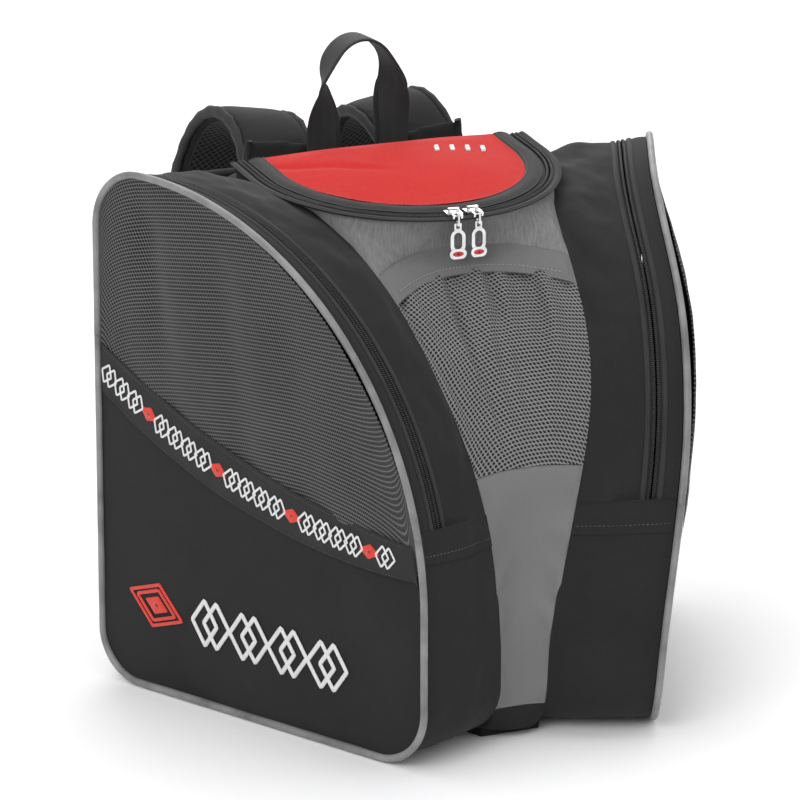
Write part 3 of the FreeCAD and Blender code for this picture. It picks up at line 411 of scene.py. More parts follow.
class Paint:
    """Short names for the nodes of one material."""

    def __init__(self, name, roughness=0.8, specular=0.3, sheen=0.0, metallic=0.0):
        self.material = bpy.data.materials.new(name)
        self.material.use_nodes = True
        self.nodes = self.material.node_tree.nodes
        self.links = self.material.node_tree.links
        self.shader = self.nodes["Principled BSDF"]
        self.shader.inputs["Roughness"].default_value = roughness
        self.shader.inputs["Specular IOR Level"].default_value = specular
        self.shader.inputs["Sheen Weight"].default_value = sheen
        self.shader.inputs["Sheen Roughness"].default_value = 0.45
        self.shader.inputs["Metallic"].default_value = metallic

    def coordinates(self, kind):
        if not hasattr(self, "source"):
            self.source = self.nodes.new("ShaderNodeTexCoord")
        return self.source.outputs[kind]

    def scaled(self, kind, scale, turn=0.0):
        node = self.nodes.new("ShaderNodeMapping")
        node.inputs["Scale"].default_value = scale
        node.inputs["Rotation"].default_value = (0, 0, turn)
        self.links.new(self.coordinates(kind), node.inputs["Vector"])
        return node.outputs[0]

    def noise(self, scale, kind="Object", detail=3.0, stretch=(1, 1, 1), turn=0.0):
        node = self.nodes.new("ShaderNodeTexNoise")
        node.inputs["Scale"].default_value = scale
        node.inputs["Detail"].default_value = detail
        self.links.new(self.scaled(kind, stretch, turn), node.inputs["Vector"])
        return node.outputs["Fac"]

    def math(self, operation, first, second=None, third=None):
        node = self.nodes.new("ShaderNodeMath")
        node.operation = operation
        for socket, value in zip(node.inputs, (first, second, third)):
            if value is None:
                continue
            if isinstance(value, (int, float)):
                socket.default_value = value
            else:
                self.links.new(value, socket)
        return node.outputs[0]

    def axis(self, vector, which):
        node = self.nodes.new("ShaderNodeSeparateXYZ")
        self.links.new(vector, node.inputs[0])
        return node.outputs[which]

    def threads(self, pitch, turn=0.0, along="X", kind="UV"):
        """0 to 1 to 0 across each thread of the given pitch, in metres."""
        vector = self.scaled(kind, (1, 1, 1), turn)
        step = self.math("MULTIPLY", self.axis(vector, along), 2 * math.pi / pitch)
        return self.math("MULTIPLY_ADD", self.math("SINE", step), 0.5, 0.5)

    def ramp(self, factor, *stops):
        node = self.nodes.new("ShaderNodeValToRGB")
        ramp = node.color_ramp
        while len(ramp.elements) < len(stops):
            ramp.elements.new(0.5)
        for element, (place, colour) in zip(ramp.elements, stops):
            element.position = place
            element.color = (*colour, 1)
        self.links.new(factor, node.inputs[0])
        return node.outputs[0]

    def colour(self, socket):
        self.links.new(socket, self.shader.inputs["Base Color"])

    def roughness(self, factor, low, high):
        self.links.new(self.math("MULTIPLY_ADD", factor, high - low, low), self.shader.inputs["Roughness"])

    def bump(self, height, distance, strength=1.0):
        node = self.nodes.new("ShaderNodeBump")
        node.inputs["Distance"].default_value = distance
        node.inputs["Strength"].default_value = strength
        self.links.new(height, node.inputs["Height"])
        if hasattr(self, "last_bump"):
            self.links.new(self.last_bump, node.inputs["Normal"])
        self.last_bump = node.outputs[0]
        self.links.new(self.last_bump, self.shader.inputs["Normal"])


def grey(value):
    return (value, value, value * 1.01)


def woven(name, dark, light, pitch=0.0011, sheen=0.25, roughness=0.78, mottled=0.35, melange=0.0):
    """Plain woven cloth: crossing threads, slow colour drift, and short flecks if it is a melange."""
    paint = Paint(name, roughness, 0.14, sheen)
    warp, weft = paint.threads(pitch), paint.threads(pitch, along="Y")
    weave = paint.math("MULTIPLY", warp, weft)
    drift = paint.noise(14, detail=4)
    fine = paint.noise(900, detail=2)
    factor = paint.math("MULTIPLY_ADD", drift, mottled, paint.math("MULTIPLY", weave, 0.35))
    factor = paint.math("MULTIPLY_ADD", fine, 0.3, factor)
    if melange:
        flecks = paint.noise(520, kind="UV", detail=3, stretch=(1, 0.22, 1), turn=0.6)
        factor = paint.math("MULTIPLY_ADD", flecks, melange, paint.math("MULTIPLY", factor, 0.6))
    paint.colour(paint.ramp(factor, (0.15, dark), (0.95, light)))
    paint.roughness(drift, roughness - 0.08, roughness + 0.1)
    paint.bump(weave, 0.00018, 0.5)
    paint.bump(paint.noise(60, detail=3), 0.0009, 0.35)
    return paint.material


def net(name, hole, thread, pitch, row, turn=0.0, sheen=0.1, open_from=0.42):
    """An open net: dark holes between threads that cross, in rows staggered like a knit."""
    paint = Paint(name, 0.75, 0.12, sheen)
    vector = paint.scaled("UV", (1, 1, 1), turn)
    first = paint.math("MULTIPLY", paint.axis(vector, "X"), 2 * math.pi / pitch)
    second = paint.math("MULTIPLY", paint.axis(vector, "Y"), 2 * math.pi / row)
    plus = paint.math("COSINE", paint.math("MULTIPLY_ADD", second, 0.5, paint.math("MULTIPLY", first, 0.5)))
    minus = paint.math("COSINE", paint.math("MULTIPLY_ADD", second, -0.5, paint.math("MULTIPLY", first, 0.5)))
    cell = paint.math("ABSOLUTE", paint.math("MULTIPLY", plus, minus))
    drift = paint.noise(22, detail=3)
    level = paint.math("MULTIPLY_ADD", drift, 0.12, cell)
    paint.colour(paint.ramp(level, (0.0, thread), (open_from - 0.12, tuple(0.8 * c for c in thread)),
                            (open_from + 0.12, hole), (1.0, hole)))
    height = paint.math("SUBTRACT", 1, cell)
    paint.bump(height, 0.0008, 0.7)
    return paint.material


def webbing(name, dark, light, pitch=0.0016):
    """Narrow woven tape with slanting ribs that meet in the middle."""
    paint = Paint(name, 0.62, 0.2, 0.05)
    vector = paint.scaled("UV", (1, 1, 1))
    folded = paint.math("PINGPONG", paint.axis(vector, "X"), 0.0045)
    slanted = paint.math("MULTIPLY_ADD", folded, 0.8, paint.axis(vector, "Y"))
    rib = paint.math("SINE", paint.math("MULTIPLY", slanted, 2 * math.pi / pitch))
    rib = paint.math("MULTIPLY_ADD", rib, 0.5, 0.5)
    strand = paint.threads(0.0022)
    height = paint.math("MULTIPLY_ADD", strand, 0.4, rib)
    paint.colour(paint.ramp(paint.math("MULTIPLY_ADD", paint.noise(40), 0.3, paint.math("MULTIPLY", height,
                                                                                        0.5)),
                            (0.1, dark), (0.9, light)))
    paint.bump(height, 0.0004, 0.8)
    return paint.material


def ribbed(name, dark, light, pitch=0.0012, sheen=0.05, roughness=0.72):
    """Binding or zipper tape: fine ribs across its length."""
    paint = Paint(name, roughness, 0.18, sheen)
    rib = paint.threads(pitch, along="X")
    factor = paint.math("MULTIPLY_ADD", paint.noise(30, detail=4), 0.5, paint.math("MULTIPLY", rib, 0.4))
    paint.colour(paint.ramp(factor, (0.15, dark), (0.85, light)))
    paint.bump(rib, 0.00025, 0.6)
    paint.bump(paint.noise(90, detail=3), 0.0006, 0.3)
    return paint.material


def plastic(name, dark, light, roughness=0.42, specular=0.45):
    """Moulded plastic: a faint drift of colour and a fine grain."""
    paint = Paint(name, roughness, specular)
    paint.colour(paint.ramp(paint.noise(35, detail=4), (0.3, dark), (0.75, light)))
    paint.roughness(paint.noise(80), roughness - 0.08, roughness + 0.12)
    paint.bump(paint.noise(1400, detail=1), 0.00005, 0.4)
    return paint.material


def polished(name):
    """Chrome plate with faint smudges and fine casting marks."""
    paint = Paint(name, 0.12, 0.5, metallic=1.0)
    smudge = paint.noise(170, detail=4)
    paint.colour(paint.ramp(smudge, (0.3, grey(0.66)), (0.7, grey(0.86))))
    paint.roughness(smudge, 0.06, 0.28)
    paint.bump(paint.noise(700, detail=2), 0.00008, 0.35)
    return paint.material


def piping_cloth(name):
    """Reflective tape rolled over a cord: fine glass-bead grain with worn, darker spots."""
    paint = Paint(name, 0.42, 0.5, 0.15)
    wear = paint.noise(45, detail=5)
    paint.colour(paint.ramp(wear, (0.25, grey(0.11)), (0.5, grey(0.19)), (0.8, grey(0.27))))
    paint.roughness(wear, 0.35, 0.6)
    paint.bump(paint.noise(1800, detail=1), 0.00012, 0.5)
    return paint.material


def embroidery(name, dark, light):
    """Satin stitch: tight parallel threads with a soft shine."""
    paint = Paint(name, 0.45, 0.4, 0.3)
    thread = paint.threads(0.0009, kind="Object", along="Z")
    paint.colour(paint.ramp(paint.math("MULTIPLY_ADD", paint.noise(120), 0.4, paint.math("MULTIPLY", thread,
                                                                                         0.5)),
                            (0.1, dark), (0.85, light)))
    paint.bump(thread, 0.00025, 0.7)
    return paint.material


def floor_paint():
    paint = Paint("studio_floor", 0.9, 0.1)
    paint.colour(paint.ramp(paint.noise(3, detail=2), (0.3, grey(0.93)), (0.7, grey(0.95))))
    return paint.material


BLACK = woven("fabric_black", grey(0.010), grey(0.036), sheen=0.06)
BACK_BLACK = woven("fabric_back", grey(0.009), grey(0.030), pitch=0.0014, sheen=0.05)
GREY = woven("fabric_grey", grey(0.145), grey(0.225), pitch=0.0009, sheen=0.1, roughness=0.6)
HEATHER = woven("heather_grey", grey(0.07), grey(0.25), melange=0.75, sheen=0.08)
HEM = woven("hem_grey", grey(0.12), grey(0.20), melange=0.3, sheen=0.08)
RED = woven("fabric_red", (0.42, 0.012, 0.010), (0.62, 0.036, 0.030), melange=0.45, sheen=0.04)
SIDE_NET = net("mesh_side", grey(0.003), grey(0.13), 0.0042, 0.0036, turn=0.32)
FRONT_NET = net("mesh_grey", grey(0.015), grey(0.22), 0.0052, 0.0040, turn=0.5, open_from=0.52)
SPACER = net("spacer_mesh", grey(0.004), grey(0.035), 0.0058, 0.0058, open_from=0.4)
TAPE = ribbed("zipper_tape", grey(0.014), grey(0.034))
BINDING = ribbed("binding_black", grey(0.016), grey(0.048), pitch=0.0016)
WEBBING = webbing("webbing_black", grey(0.014), grey(0.046))
BAND = ribbed("woven_band", grey(0.016), grey(0.036), pitch=0.0010)
COIL = plastic("zipper_coil", grey(0.018), grey(0.035), 0.38, 0.5)
PLASTIC = plastic("plastic_black", grey(0.012), grey(0.026))
PIPING = piping_cloth("piping_grey")
CHROME = polished("chrome")
THREAD = embroidery("thread_grey", grey(0.20), grey(0.40))
DARK_THREAD = embroidery("thread_black", grey(0.02), grey(0.07))
WHITE_THREAD = embroidery("thread_white", grey(0.55), grey(0.86))
RED_THREAD = embroidery("thread_red", (0.50, 0.012, 0.006), (0.80, 0.045, 0.02))
RED_ENAMEL = plastic("enamel_red", (0.42, 0.015, 0.012), (0.56, 0.03, 0.025), 0.25, 0.6)


def finish_piece(piece, body, slot, *nodes):
    """Puts a piece on its body and hides the CAD nodes it stands for. The slot argument is not used."""
    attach(piece, body)
    if nodes:
        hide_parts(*nodes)
    return piece


# ---------------------------------------------------------------- boot pockets

FOLD_NORMAL = unit((FOLD_REAR - FRONT_SEAM, 335.2))   # across the fold line, as (s, z)
FOLD_MIDDLE = (167.6, (FOLD_REAR + FRONT_SEAM) / 2)


def bend_door(piece, side, nodes, before=6, after=16):
    """Bakes a piece's transform and hides its CAD nodes. The points it works out on the fold line are not used,
    and the piece does not turn with the door.
    """
    for reach in (-before, after):
        s = FOLD_MIDDLE[0] + FOLD_NORMAL[0] * reach
        z = FOLD_MIDDLE[1] + FOLD_NORMAL[1] * reach
        tuple(frame_point(side, s, -4, z) * MM)
    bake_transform(piece)
    if nodes:
        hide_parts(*nodes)
    return piece


def arc_height(s, left, right, radius):
    """Height of a sagging arc through two (s, z) points."""
    (s0, z0), (s1, z1) = left, right
    chord = math.hypot(s1 - s0, z1 - z0)
    share = (s - s0) / (s1 - s0)
    sag = radius - math.sqrt(radius ** 2 - (chord / 2) ** 2)
    return z0 + (z1 - z0) * share - sag * 4 * share * (1 - share)


def band_top(s):
    return arc_height(s, (6, 278), (322, 181), 1010)


def band_low(s):
    return arc_height(s, (6, 238), (322, 152), 660)


def face_columns(count=96, start=0.0, end=LENGTH):
    """s positions, closer together at both ends where the outline is steep."""
    share = np.linspace(0, 1, count)
    return start + (end - start) * (0.5 - 0.5 * np.cos(math.pi * share))


def top_height(s, depth=0.0, inset=0.0):
    corner = CORNER_OUT + (CORNER_IN - CORNER_OUT) * depth / DEPTH
    arch = LENGTH - corner - inset
    radius = corner - inset
    over_arch = SPRING + np.sqrt(np.maximum(arch ** 2 - np.maximum(s - corner, 0) ** 2, 0))
    over_corner = SPRING + LENGTH - 2 * corner + np.sqrt(
        np.maximum(radius ** 2 - np.maximum(corner - s, 0) ** 2, 0))
    return np.where(s >= corner, over_arch, over_corner)


def low_height(s, inset=0.0):
    front = FRONT_FOOT - inset
    rear = REAR_FOOT - inset
    over_front = BOTTOM + FRONT_FOOT - np.sqrt(np.maximum(front ** 2 - np.maximum(s - LENGTH + FRONT_FOOT,
                                                                                  0) ** 2, 0))
    over_rear = BOTTOM + REAR_FOOT - np.sqrt(np.maximum(rear ** 2 - np.maximum(REAR_FOOT - s, 0) ** 2, 0))
    return np.maximum(over_front, over_rear)


SIDE_BULGE = {"left": 9.0, "right": 15.0}


def side_bulge(side, s, z):
    """How far the filled pocket pushes its side panel out, mm."""
    s_share = np.clip(s / LENGTH, 0, 1)
    z_share = np.clip(z / (SPRING + LENGTH - CORNER_OUT), 0, 1)
    return SIDE_BULGE[side] * (4 * s_share * (1 - s_share)) ** 0.8 * (4 * z_share * (1 - z_share)) ** 0.8


def side_surface(side, s, z, lift, seed):
    """Points on the puffed side panel, lifted outwards by lift mm."""
    base = frame_point(side, s, 0.0, z)
    creases = 1.2 * rough(base, 60, seed) + 0.4 * rough(base, 20, seed + 3)
    edge = np.minimum(1, np.minimum(np.minimum(s, LENGTH - s) / 14, 1))
    return pocket_point(side, s, -(side_bulge(side, s, z) + lift + creases * np.maximum(edge, 0)), z)


def side_panels(side):
    """The solid lower panel, the net above the band, and the woven band over their seam."""
    inset = 1.5
    s = face_columns(110, inset, LENGTH - inset)[None, :]
    rows = np.linspace(0, 1, 60)[:, None]
    seam = np.minimum((band_top(s) + band_low(s)) / 2, top_height(s, 0, inset) - 0.5)
    low = np.minimum(low_height(s, inset), seam - 0.4)
    z = low + (seam - low) * rows
    sag = 1.6 * np.sin(s / 23 + z / 60) * np.exp(-((z - low) / 45) ** 2)
    panel = cloth(f"side_panel_{side}", side_surface(side, s, z, -0.6 + sag * 0.5, 1), 1.6, BLACK)
    finish_piece(panel, "shell", "fabric_black", f"side_panel_{side}")

    rows = np.linspace(0, 1, 90)[:, None]
    high = top_height(s, 0, inset)
    low = np.minimum(np.maximum(seam - 8, 0), high - 0.4)
    z = low + (high - low) * rows
    across = s + 0.22 * (z - 280)
    fade = np.clip((high - z) / 40, 0, 1) * np.clip((s - 8) / 40, 0, 1) * np.clip((LENGTH - s) / 60, 0, 1)
    lean_in = 4.2 * np.exp(-((across - 78) / 15) ** 2) + 3.4 * np.exp(-((across - 150) / 17) ** 2)
    lean_in += 2.6 * np.exp(-((across - 215) / 20) ** 2) + 1.2 * np.exp(-((across - 30) / 9) ** 2)
    folds = -lean_in * fade * (0.7 + 0.5 * rough(pocket_point(side, s, 0.0, z), 70, 9))
    grid = side_surface(side, s, z, -0.4 + folds + 0.7, 2)
    net_piece = cloth(f"side_mesh_{side}", grid, 1.2, SIDE_NET)
    bend_door(net_piece, side, [f"side_mesh_{side}"])

    s = np.linspace(3, LENGTH - 4, 120)[None, :]
    rows = np.linspace(0, 1, 14)[:, None]
    low, high = band_low(s), np.minimum(band_top(s), top_height(s, 0, 3))
    low = np.minimum(low, high - 1)
    z = low + (high - low) * rows
    crown = 0.5 * np.sin(math.pi * rows) + 0.25 * rough(pocket_point(side, s, 0.0, z), 26, 5)
    band = cloth(f"woven_band_{side}", side_surface(side, s, z, 1.2 + crown, 1.5), 1.2, BAND)
    finish_piece(band, "shell", "woven_band", f"woven_band_{side}")
    for label, place in (("upper", 0.06), ("lower", 0.94)):
        s_line = np.linspace(8, LENGTH - 12, 150)
        z_line = band_low(s_line) + (band_top(s_line) - band_low(s_line)) * (1 - place)
        z_line = np.minimum(z_line, top_height(s_line, 0, 6))
        line = side_surface(side, s_line, z_line, 2.0, 1.5)
        out = np.broadcast_to(unit(side_out(side)), line.shape)
        row = stitches(f"band_stitches_{label}_{side}", line, out, DARK_THREAD, 2.8, 1.9, 0.25, 0.0)
        finish_piece(row, "shell", "woven_band")
    band_motif(side)


def side_out(side):
    """Unit vector out of a side panel."""
    return np.array([sign_of(side) * SPLAY_COS, -SPLAY_SIN, 0.0])


def motif_frame(side, s, z, size, outline_of, tilt, lift):
    """Points of a small flat shape on the side panel, from offsets in its own slanted frame."""
    offsets = np.asarray(outline_of, float) * size
    cos, sin = math.cos(tilt), math.sin(tilt)
    ds = offsets[:, 0] * cos - offsets[:, 1] * sin
    dz = offsets[:, 0] * sin + offsets[:, 1] * cos
    return side_surface(side, s + ds, z + dz, lift, 1.5)


DIAMOND = [(0.72, 0), (0, 1), (-0.72, 0), (0, -1)]
LOZENGE = [(1, 0), (0, 0.62), (-1, 0), (0, -0.62)]


def raised_loop(name, points, side, width, material):
    """A closed satin-stitched line through points on a side panel."""
    points = np.concatenate([points, points[:1]])
    path = resample(points, 1.6)[:-1]
    out = np.broadcast_to(unit(side_out(side)), path.shape)
    across = unit(np.cross(tangents(np.concatenate([path[-1:], path, path[:1]]))[1:-1], out))
    return sweep(name, path, across, out, circle(width, 8, 0.45), material, closed=True)


def raised_patch(name, points, side, material, height=0.7):
    """A filled satin-stitched shape: a crowned patch inside an outline."""
    centre = points.mean(0)
    out = unit(side_out(side))
    rim = resample(np.concatenate([points, points[:1]]), 1.5)[:-1]
    rings = [centre + (rim - centre) * share + out * height * (1 - share ** 3)
             for share in (1.0, 0.9, 0.7, 0.4, 0.12)]
    rings.insert(0, rim - out * 0.8)
    grid = np.stack(rings)
    faces = grid_faces(len(rings), len(rim), wrap=True).tolist()
    faces.append([(len(rings) - 1) * len(rim) + k for k in range(len(rim))])
    faces.append(list(range(len(rim)))[::-1])
    return add_mesh(name, grid.reshape(-1, 3), faces, np.zeros((grid.shape[0] * grid.shape[1], 2)), material)


def band_motif(side):
    """A plain repeat along the band: crossed diamonds in outline, then one filled lozenge."""
    white, red = [], []
    places = np.arange(14, LENGTH - 20, 15.5)
    for index, s in enumerate(places):
        z = float((band_low(s) + band_top(s)) / 2)
        slope = math.atan2(float(band_top(s + 5) - band_top(s - 5) + band_low(s + 5) - band_low(s - 5)), 20)
        if index % 5 == 3:
            shape = motif_frame(side, s, z, 10.0, LOZENGE, slope, 2.0)
            red.append(raised_patch(f"lozenge{index}", shape, side, RED_THREAD))
        else:
            for offset in (-3.0, 3.0):
                shape = motif_frame(side, s + offset, z + offset * math.tan(slope), 8.6, DIAMOND, slope, 2.2)
                white.append(raised_loop(f"diamond{index}", shape, side, 0.95, WHITE_THREAD))
    finish_piece(join(f"band_motif_white_{side}", white), "shell", "woven_band")
    finish_piece(join(f"band_motif_red_{side}", red), "shell", "woven_band")


def panel_motif(side):
    """The embroidery low on the side panel: nested lozenges and a row of crossed diamonds."""
    pieces = []
    slope = -0.04
    for index, size in enumerate((30, 22)):
        shape = motif_frame(side, 62, 74, size, LOZENGE, slope - 0.2, 0.4)
        pieces.append(raised_loop(f"ring{index}", shape, side, 1.5, RED_THREAD))
    shape = motif_frame(side, 62, 74, 13, LOZENGE, slope - 0.2, 0.2)
    pieces.append(raised_patch("heart", shape, side, RED_THREAD))
    finish_piece(join(f"panel_motif_red_{side}", pieces), "shell", "fabric_black")
    bars = []
    for index in range(4):
        for offset in (-6.5, 6.5):
            shape = motif_frame(side, 124 + 41 * index + offset, 72 - 2 * index, 19.0, DIAMOND, slope, 0.5)
            bars.append(raised_loop(f"diamond{index}", shape, side, 2.0, WHITE_THREAD))
    finish_piece(join(f"panel_motif_white_{side}", bars), "shell", "fabric_black")


def strip(side, first, last, depths, rows, bulge, seed, wrinkle=0.8, grow=0.0):
    """A strip of gusset between two stations, as a grid. An inner depth of None is the inner seam."""
    station = np.linspace(first, last, rows)[:, None]
    inner = seam_depth(station) if depths[1] is None else depths[1]
    width = DEPTH - depths[0] if depths[1] is None else abs(depths[1] - depths[0])
    share = np.linspace(0, 1, max(6, int(width / 2.4)))[None, :]
    depth = depths[0] + (inner - depths[0]) * share
    s, z = outline(depth, station)
    base = frame_point(side, s, depth, z)
    folds = rough(base, 36, seed) + 0.45 * rough(base, 13, seed)
    slanted = np.stack([base[..., 0] * 2.2, base[..., 1] * 1.2, base[..., 2] * 0.5 + base[..., 0]], -1)
    folds = folds + 0.8 * rough(slanted, 40, seed + 2)
    edge = np.sin(math.pi * share) ** 0.5
    s, z = outline(depth, station, grow + bulge * np.sin(math.pi * share) + wrinkle * folds * edge)
    return pocket_point(side, s, depth, z)


def gussets(side):
    """The black cloth that runs round a pocket between its side panel and its divider."""
    low_front, low_rear = front_station(FRONT_SEAM), rear_station(FOLD_REAR)
    front = strip(side, 0.7, low_front, (2.5, None), 100, 5.0, 11, 1.6)
    piece = cloth(f"front_gusset_{side}", front, 1.8, BLACK)
    finish_piece(piece, "shell", "fabric_black", f"front_gusset_{side}")
    rear = strip(side, low_rear, 7.3, (2.5, DEPTH), 80, 2.5, 12, 0.9)
    piece = cloth(f"rear_gusset_{side}", rear, 1.8, BACK_BLACK)
    finish_piece(piece, "shell", "fabric_black", f"rear_gusset_{side}")
    top = strip(side, low_front, low_rear, (COIL_DEPTH + 7, None), 170, 3.0, 13, 3.0)
    piece = cloth(f"top_gusset_{side}", top, 1.8, BLACK)
    finish_piece(piece, "shell", "fabric_black", f"top_gusset_{side}")
    door = strip(side, low_front, low_rear, (2.5, COIL_DEPTH - 7), 150, 1.0, 14, 0.3)
    piece = cloth(f"door_gusset_{side}", door, 1.4, BLACK)
    bend_door(piece, side, [f"door_gusset_{side}"])
    hem_line = strip(side, low_front - 0.035, low_front - 0.035, (4, None), 2, 5.0, 11, 1.6, 1.0)[0]
    out = np.broadcast_to((0, -1, 0.2), hem_line.shape)
    finish_piece(stitches(f"front_seam_stitches_{side}", hem_line, out, DARK_THREAD), "shell", "fabric_black")
    fold = strip(side, low_front - 0.05, low_front + 0.006, (3, None), 8, 5.0, 11, 1.6, 0.8)
    finish_piece(cloth(f"front_seam_fold_{side}", fold, 1.4, BLACK), "shell", "fabric_black")


def zipper_tapes(side):
    """The side zipper: a tape and a row of coil on the door, and the same on the shell."""
    first, last = front_station(FRONT_SEAM), rear_station(FOLD_REAR)
    halves = (("door_zipper", (COIL_DEPTH - 8.5, COIL_DEPTH - 0.7), -1),
              ("side_zipper", (COIL_DEPTH + 0.7, COIL_DEPTH + 8.5), 1))
    for node, depths, way in halves:
        tape = cloth(f"{node}_{side}", strip(side, first, last, depths, 150, 0.0, 15, 0.2, -0.3), 1.0, TAPE)
        line = strip(side, first, last, (COIL_DEPTH + way * 1.9 - 0.05, COIL_DEPTH + way * 1.9 + 0.05), 240,
                     0.0, 15, 0.2, 0.3)
        path = line[:, 0]
        inner = strip(side, first, last, (COIL_DEPTH + way * 1.9 - 0.05, COIL_DEPTH + way * 1.9 + 0.05),
                      240, 0.0, 15, 0.2, 1.3)[:, 0]
        out = unit(inner - path)
        side_way = unit(np.cross(tangents(path), out))
        teeth = coil(f"{node}_teeth_{side}", path, out, side_way, COIL)
        cover = strip(side, first, last, (COIL_DEPTH + way * 4.6, COIL_DEPTH + way * 8.8), 150, 0.9, 16,
                      0.2, 0.9)
        lip = cloth(f"{node}_lip_{side}", cover, 1.2, BINDING)
        for piece, nodes in ((tape, [f"{node}_{side}"]), (teeth, []), (lip, [])):
            if node == "door_zipper":
                bend_door(piece, side, nodes)
            else:
                finish_piece(piece, "shell", "zipper_black", *nodes)


def pipings(side):
    """The round cord along the edge of the side panel, in an upper run and a lower one."""
    def tube(name, first, last, count):
        station = np.linspace(first, last, count)
        s, z = outline(0.0, station, 1.2)
        path = pocket_point(side, s, -1.0, np.maximum(z, 3.0))
        out = np.broadcast_to(unit(side_out(side)), path.shape)
        radial = unit(np.cross(tangents(path), out))
        wobble = 1 + 0.05 * rough(path, 16, 21)
        shape = circle(2.9, 12)[None] * wobble[:, None, None]
        return sweep(name, path, radial, out, shape, PIPING)

    first, last = front_station(FRONT_SEAM - 1.5), rear_station(FOLD_REAR + 1)
    bend_door(tube(f"upper_piping_{side}", first, last, 260), side, [f"upper_piping_{side}"],
              2, 20)
    front = tube(f"lower_piping_{side}", 0.0, first, 120)
    rear = tube("rear_run", last, 8.0, 140)
    finish_piece(join(f"lower_piping_{side}", [front, rear]), "shell", "piping_grey", f"lower_piping_{side}")
    lining = []
    for label, start, end in (("front", 0.0, first), ("rear", last, 8.0)):
        station = np.linspace(start, end, 120)[:, None]
        depth = np.linspace(-0.5, 5.0, 4)[None, :]
        s, z = outline(depth, station, -0.6)
        lining.append(cloth(label, pocket_point(side, s, depth, z), 1.0, BLACK))
    finish_piece(join(f"piping_flange_{side}", lining), "shell", "fabric_black")


def dividers(side):
    """The wall between a boot pocket and the middle compartment."""
    inset = 3.0
    s = face_columns(80, inset, LENGTH - inset)[None, :]
    rows = np.linspace(0, 1, 60)[:, None]
    low = low_height(s, inset) + 3
    high = np.maximum(top_height(s, DEPTH, inset + 1.5), low + 0.5)
    z = low + (high - low) * rows
    base = pocket_point(side, s, DEPTH, z)
    dent = 1.2 * rough(base, 80, 31) * np.sin(math.pi * rows)
    grid = pocket_point(side, s, DEPTH - 0.6 - np.abs(dent), z)
    piece = cloth(f"divider_{side}", grid, 1.4, BACK_BLACK, away=pocket_point(side, 150, 20.0, 200))
    finish_piece(piece, "shell", "fabric_black", f"divider_{side}")


for each in SIDES:
    side_panels(each)
    panel_motif(each)
    gussets(each)
    zipper_tapes(each)
    pipings(each)
    dividers(each)

# ---------------------------------------------------------------- front of the middle compartment


def node_box(name):
    low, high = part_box(name)
    return np.array(low) / MM, np.array(high) / MM


CENTRE_HEIGHTS = (3, 27, 110, 218, 297, 365)
CENTRE_LINE = (-129.5, -129.5, -126, -127, -69, -6)


def centre_grid(low, high, rows, columns):
    """The smooth surface between the two gussets' inner seams, hollow between them, from height low to high."""
    row = np.linspace(0, 1, rows)[:, None]
    share = np.linspace(-1, 1, columns)[None, :]
    height = low + (high - low) * row
    middle = np.stack(np.broadcast_arrays(0.0, np.interp(height, CENTRE_HEIGHTS, CENTRE_LINE), height), -1)
    station = station_at(height)
    edge = np.where((share < 0)[..., None], seam_point("left", station), seam_point("right", station))
    reach = np.abs(share)[..., None]
    bow = reach ** 2.2
    return share, row, middle + (edge - middle) * np.concatenate([reach, bow, bow], -1)


def centre_panel(name, low, high, rows, columns, shape, thickness, material):
    """A panel between the two gussets, sewn to their inner seams.

    low and high are its heights. shape gives how far it stands out, from its share of the width
    (-1 to 1), its share of the height and its points.
    """
    share, row, grid = centre_grid(low, high, rows, columns)
    fade = np.minimum(1, (1 - np.abs(share)) / 0.06)
    grid = grid + (shape(share, row, grid) * fade)[..., None] * grid_normals(grid, (0, 120, 150))
    return cloth(name, grid, thickness, material, away=(0, 120, 150))


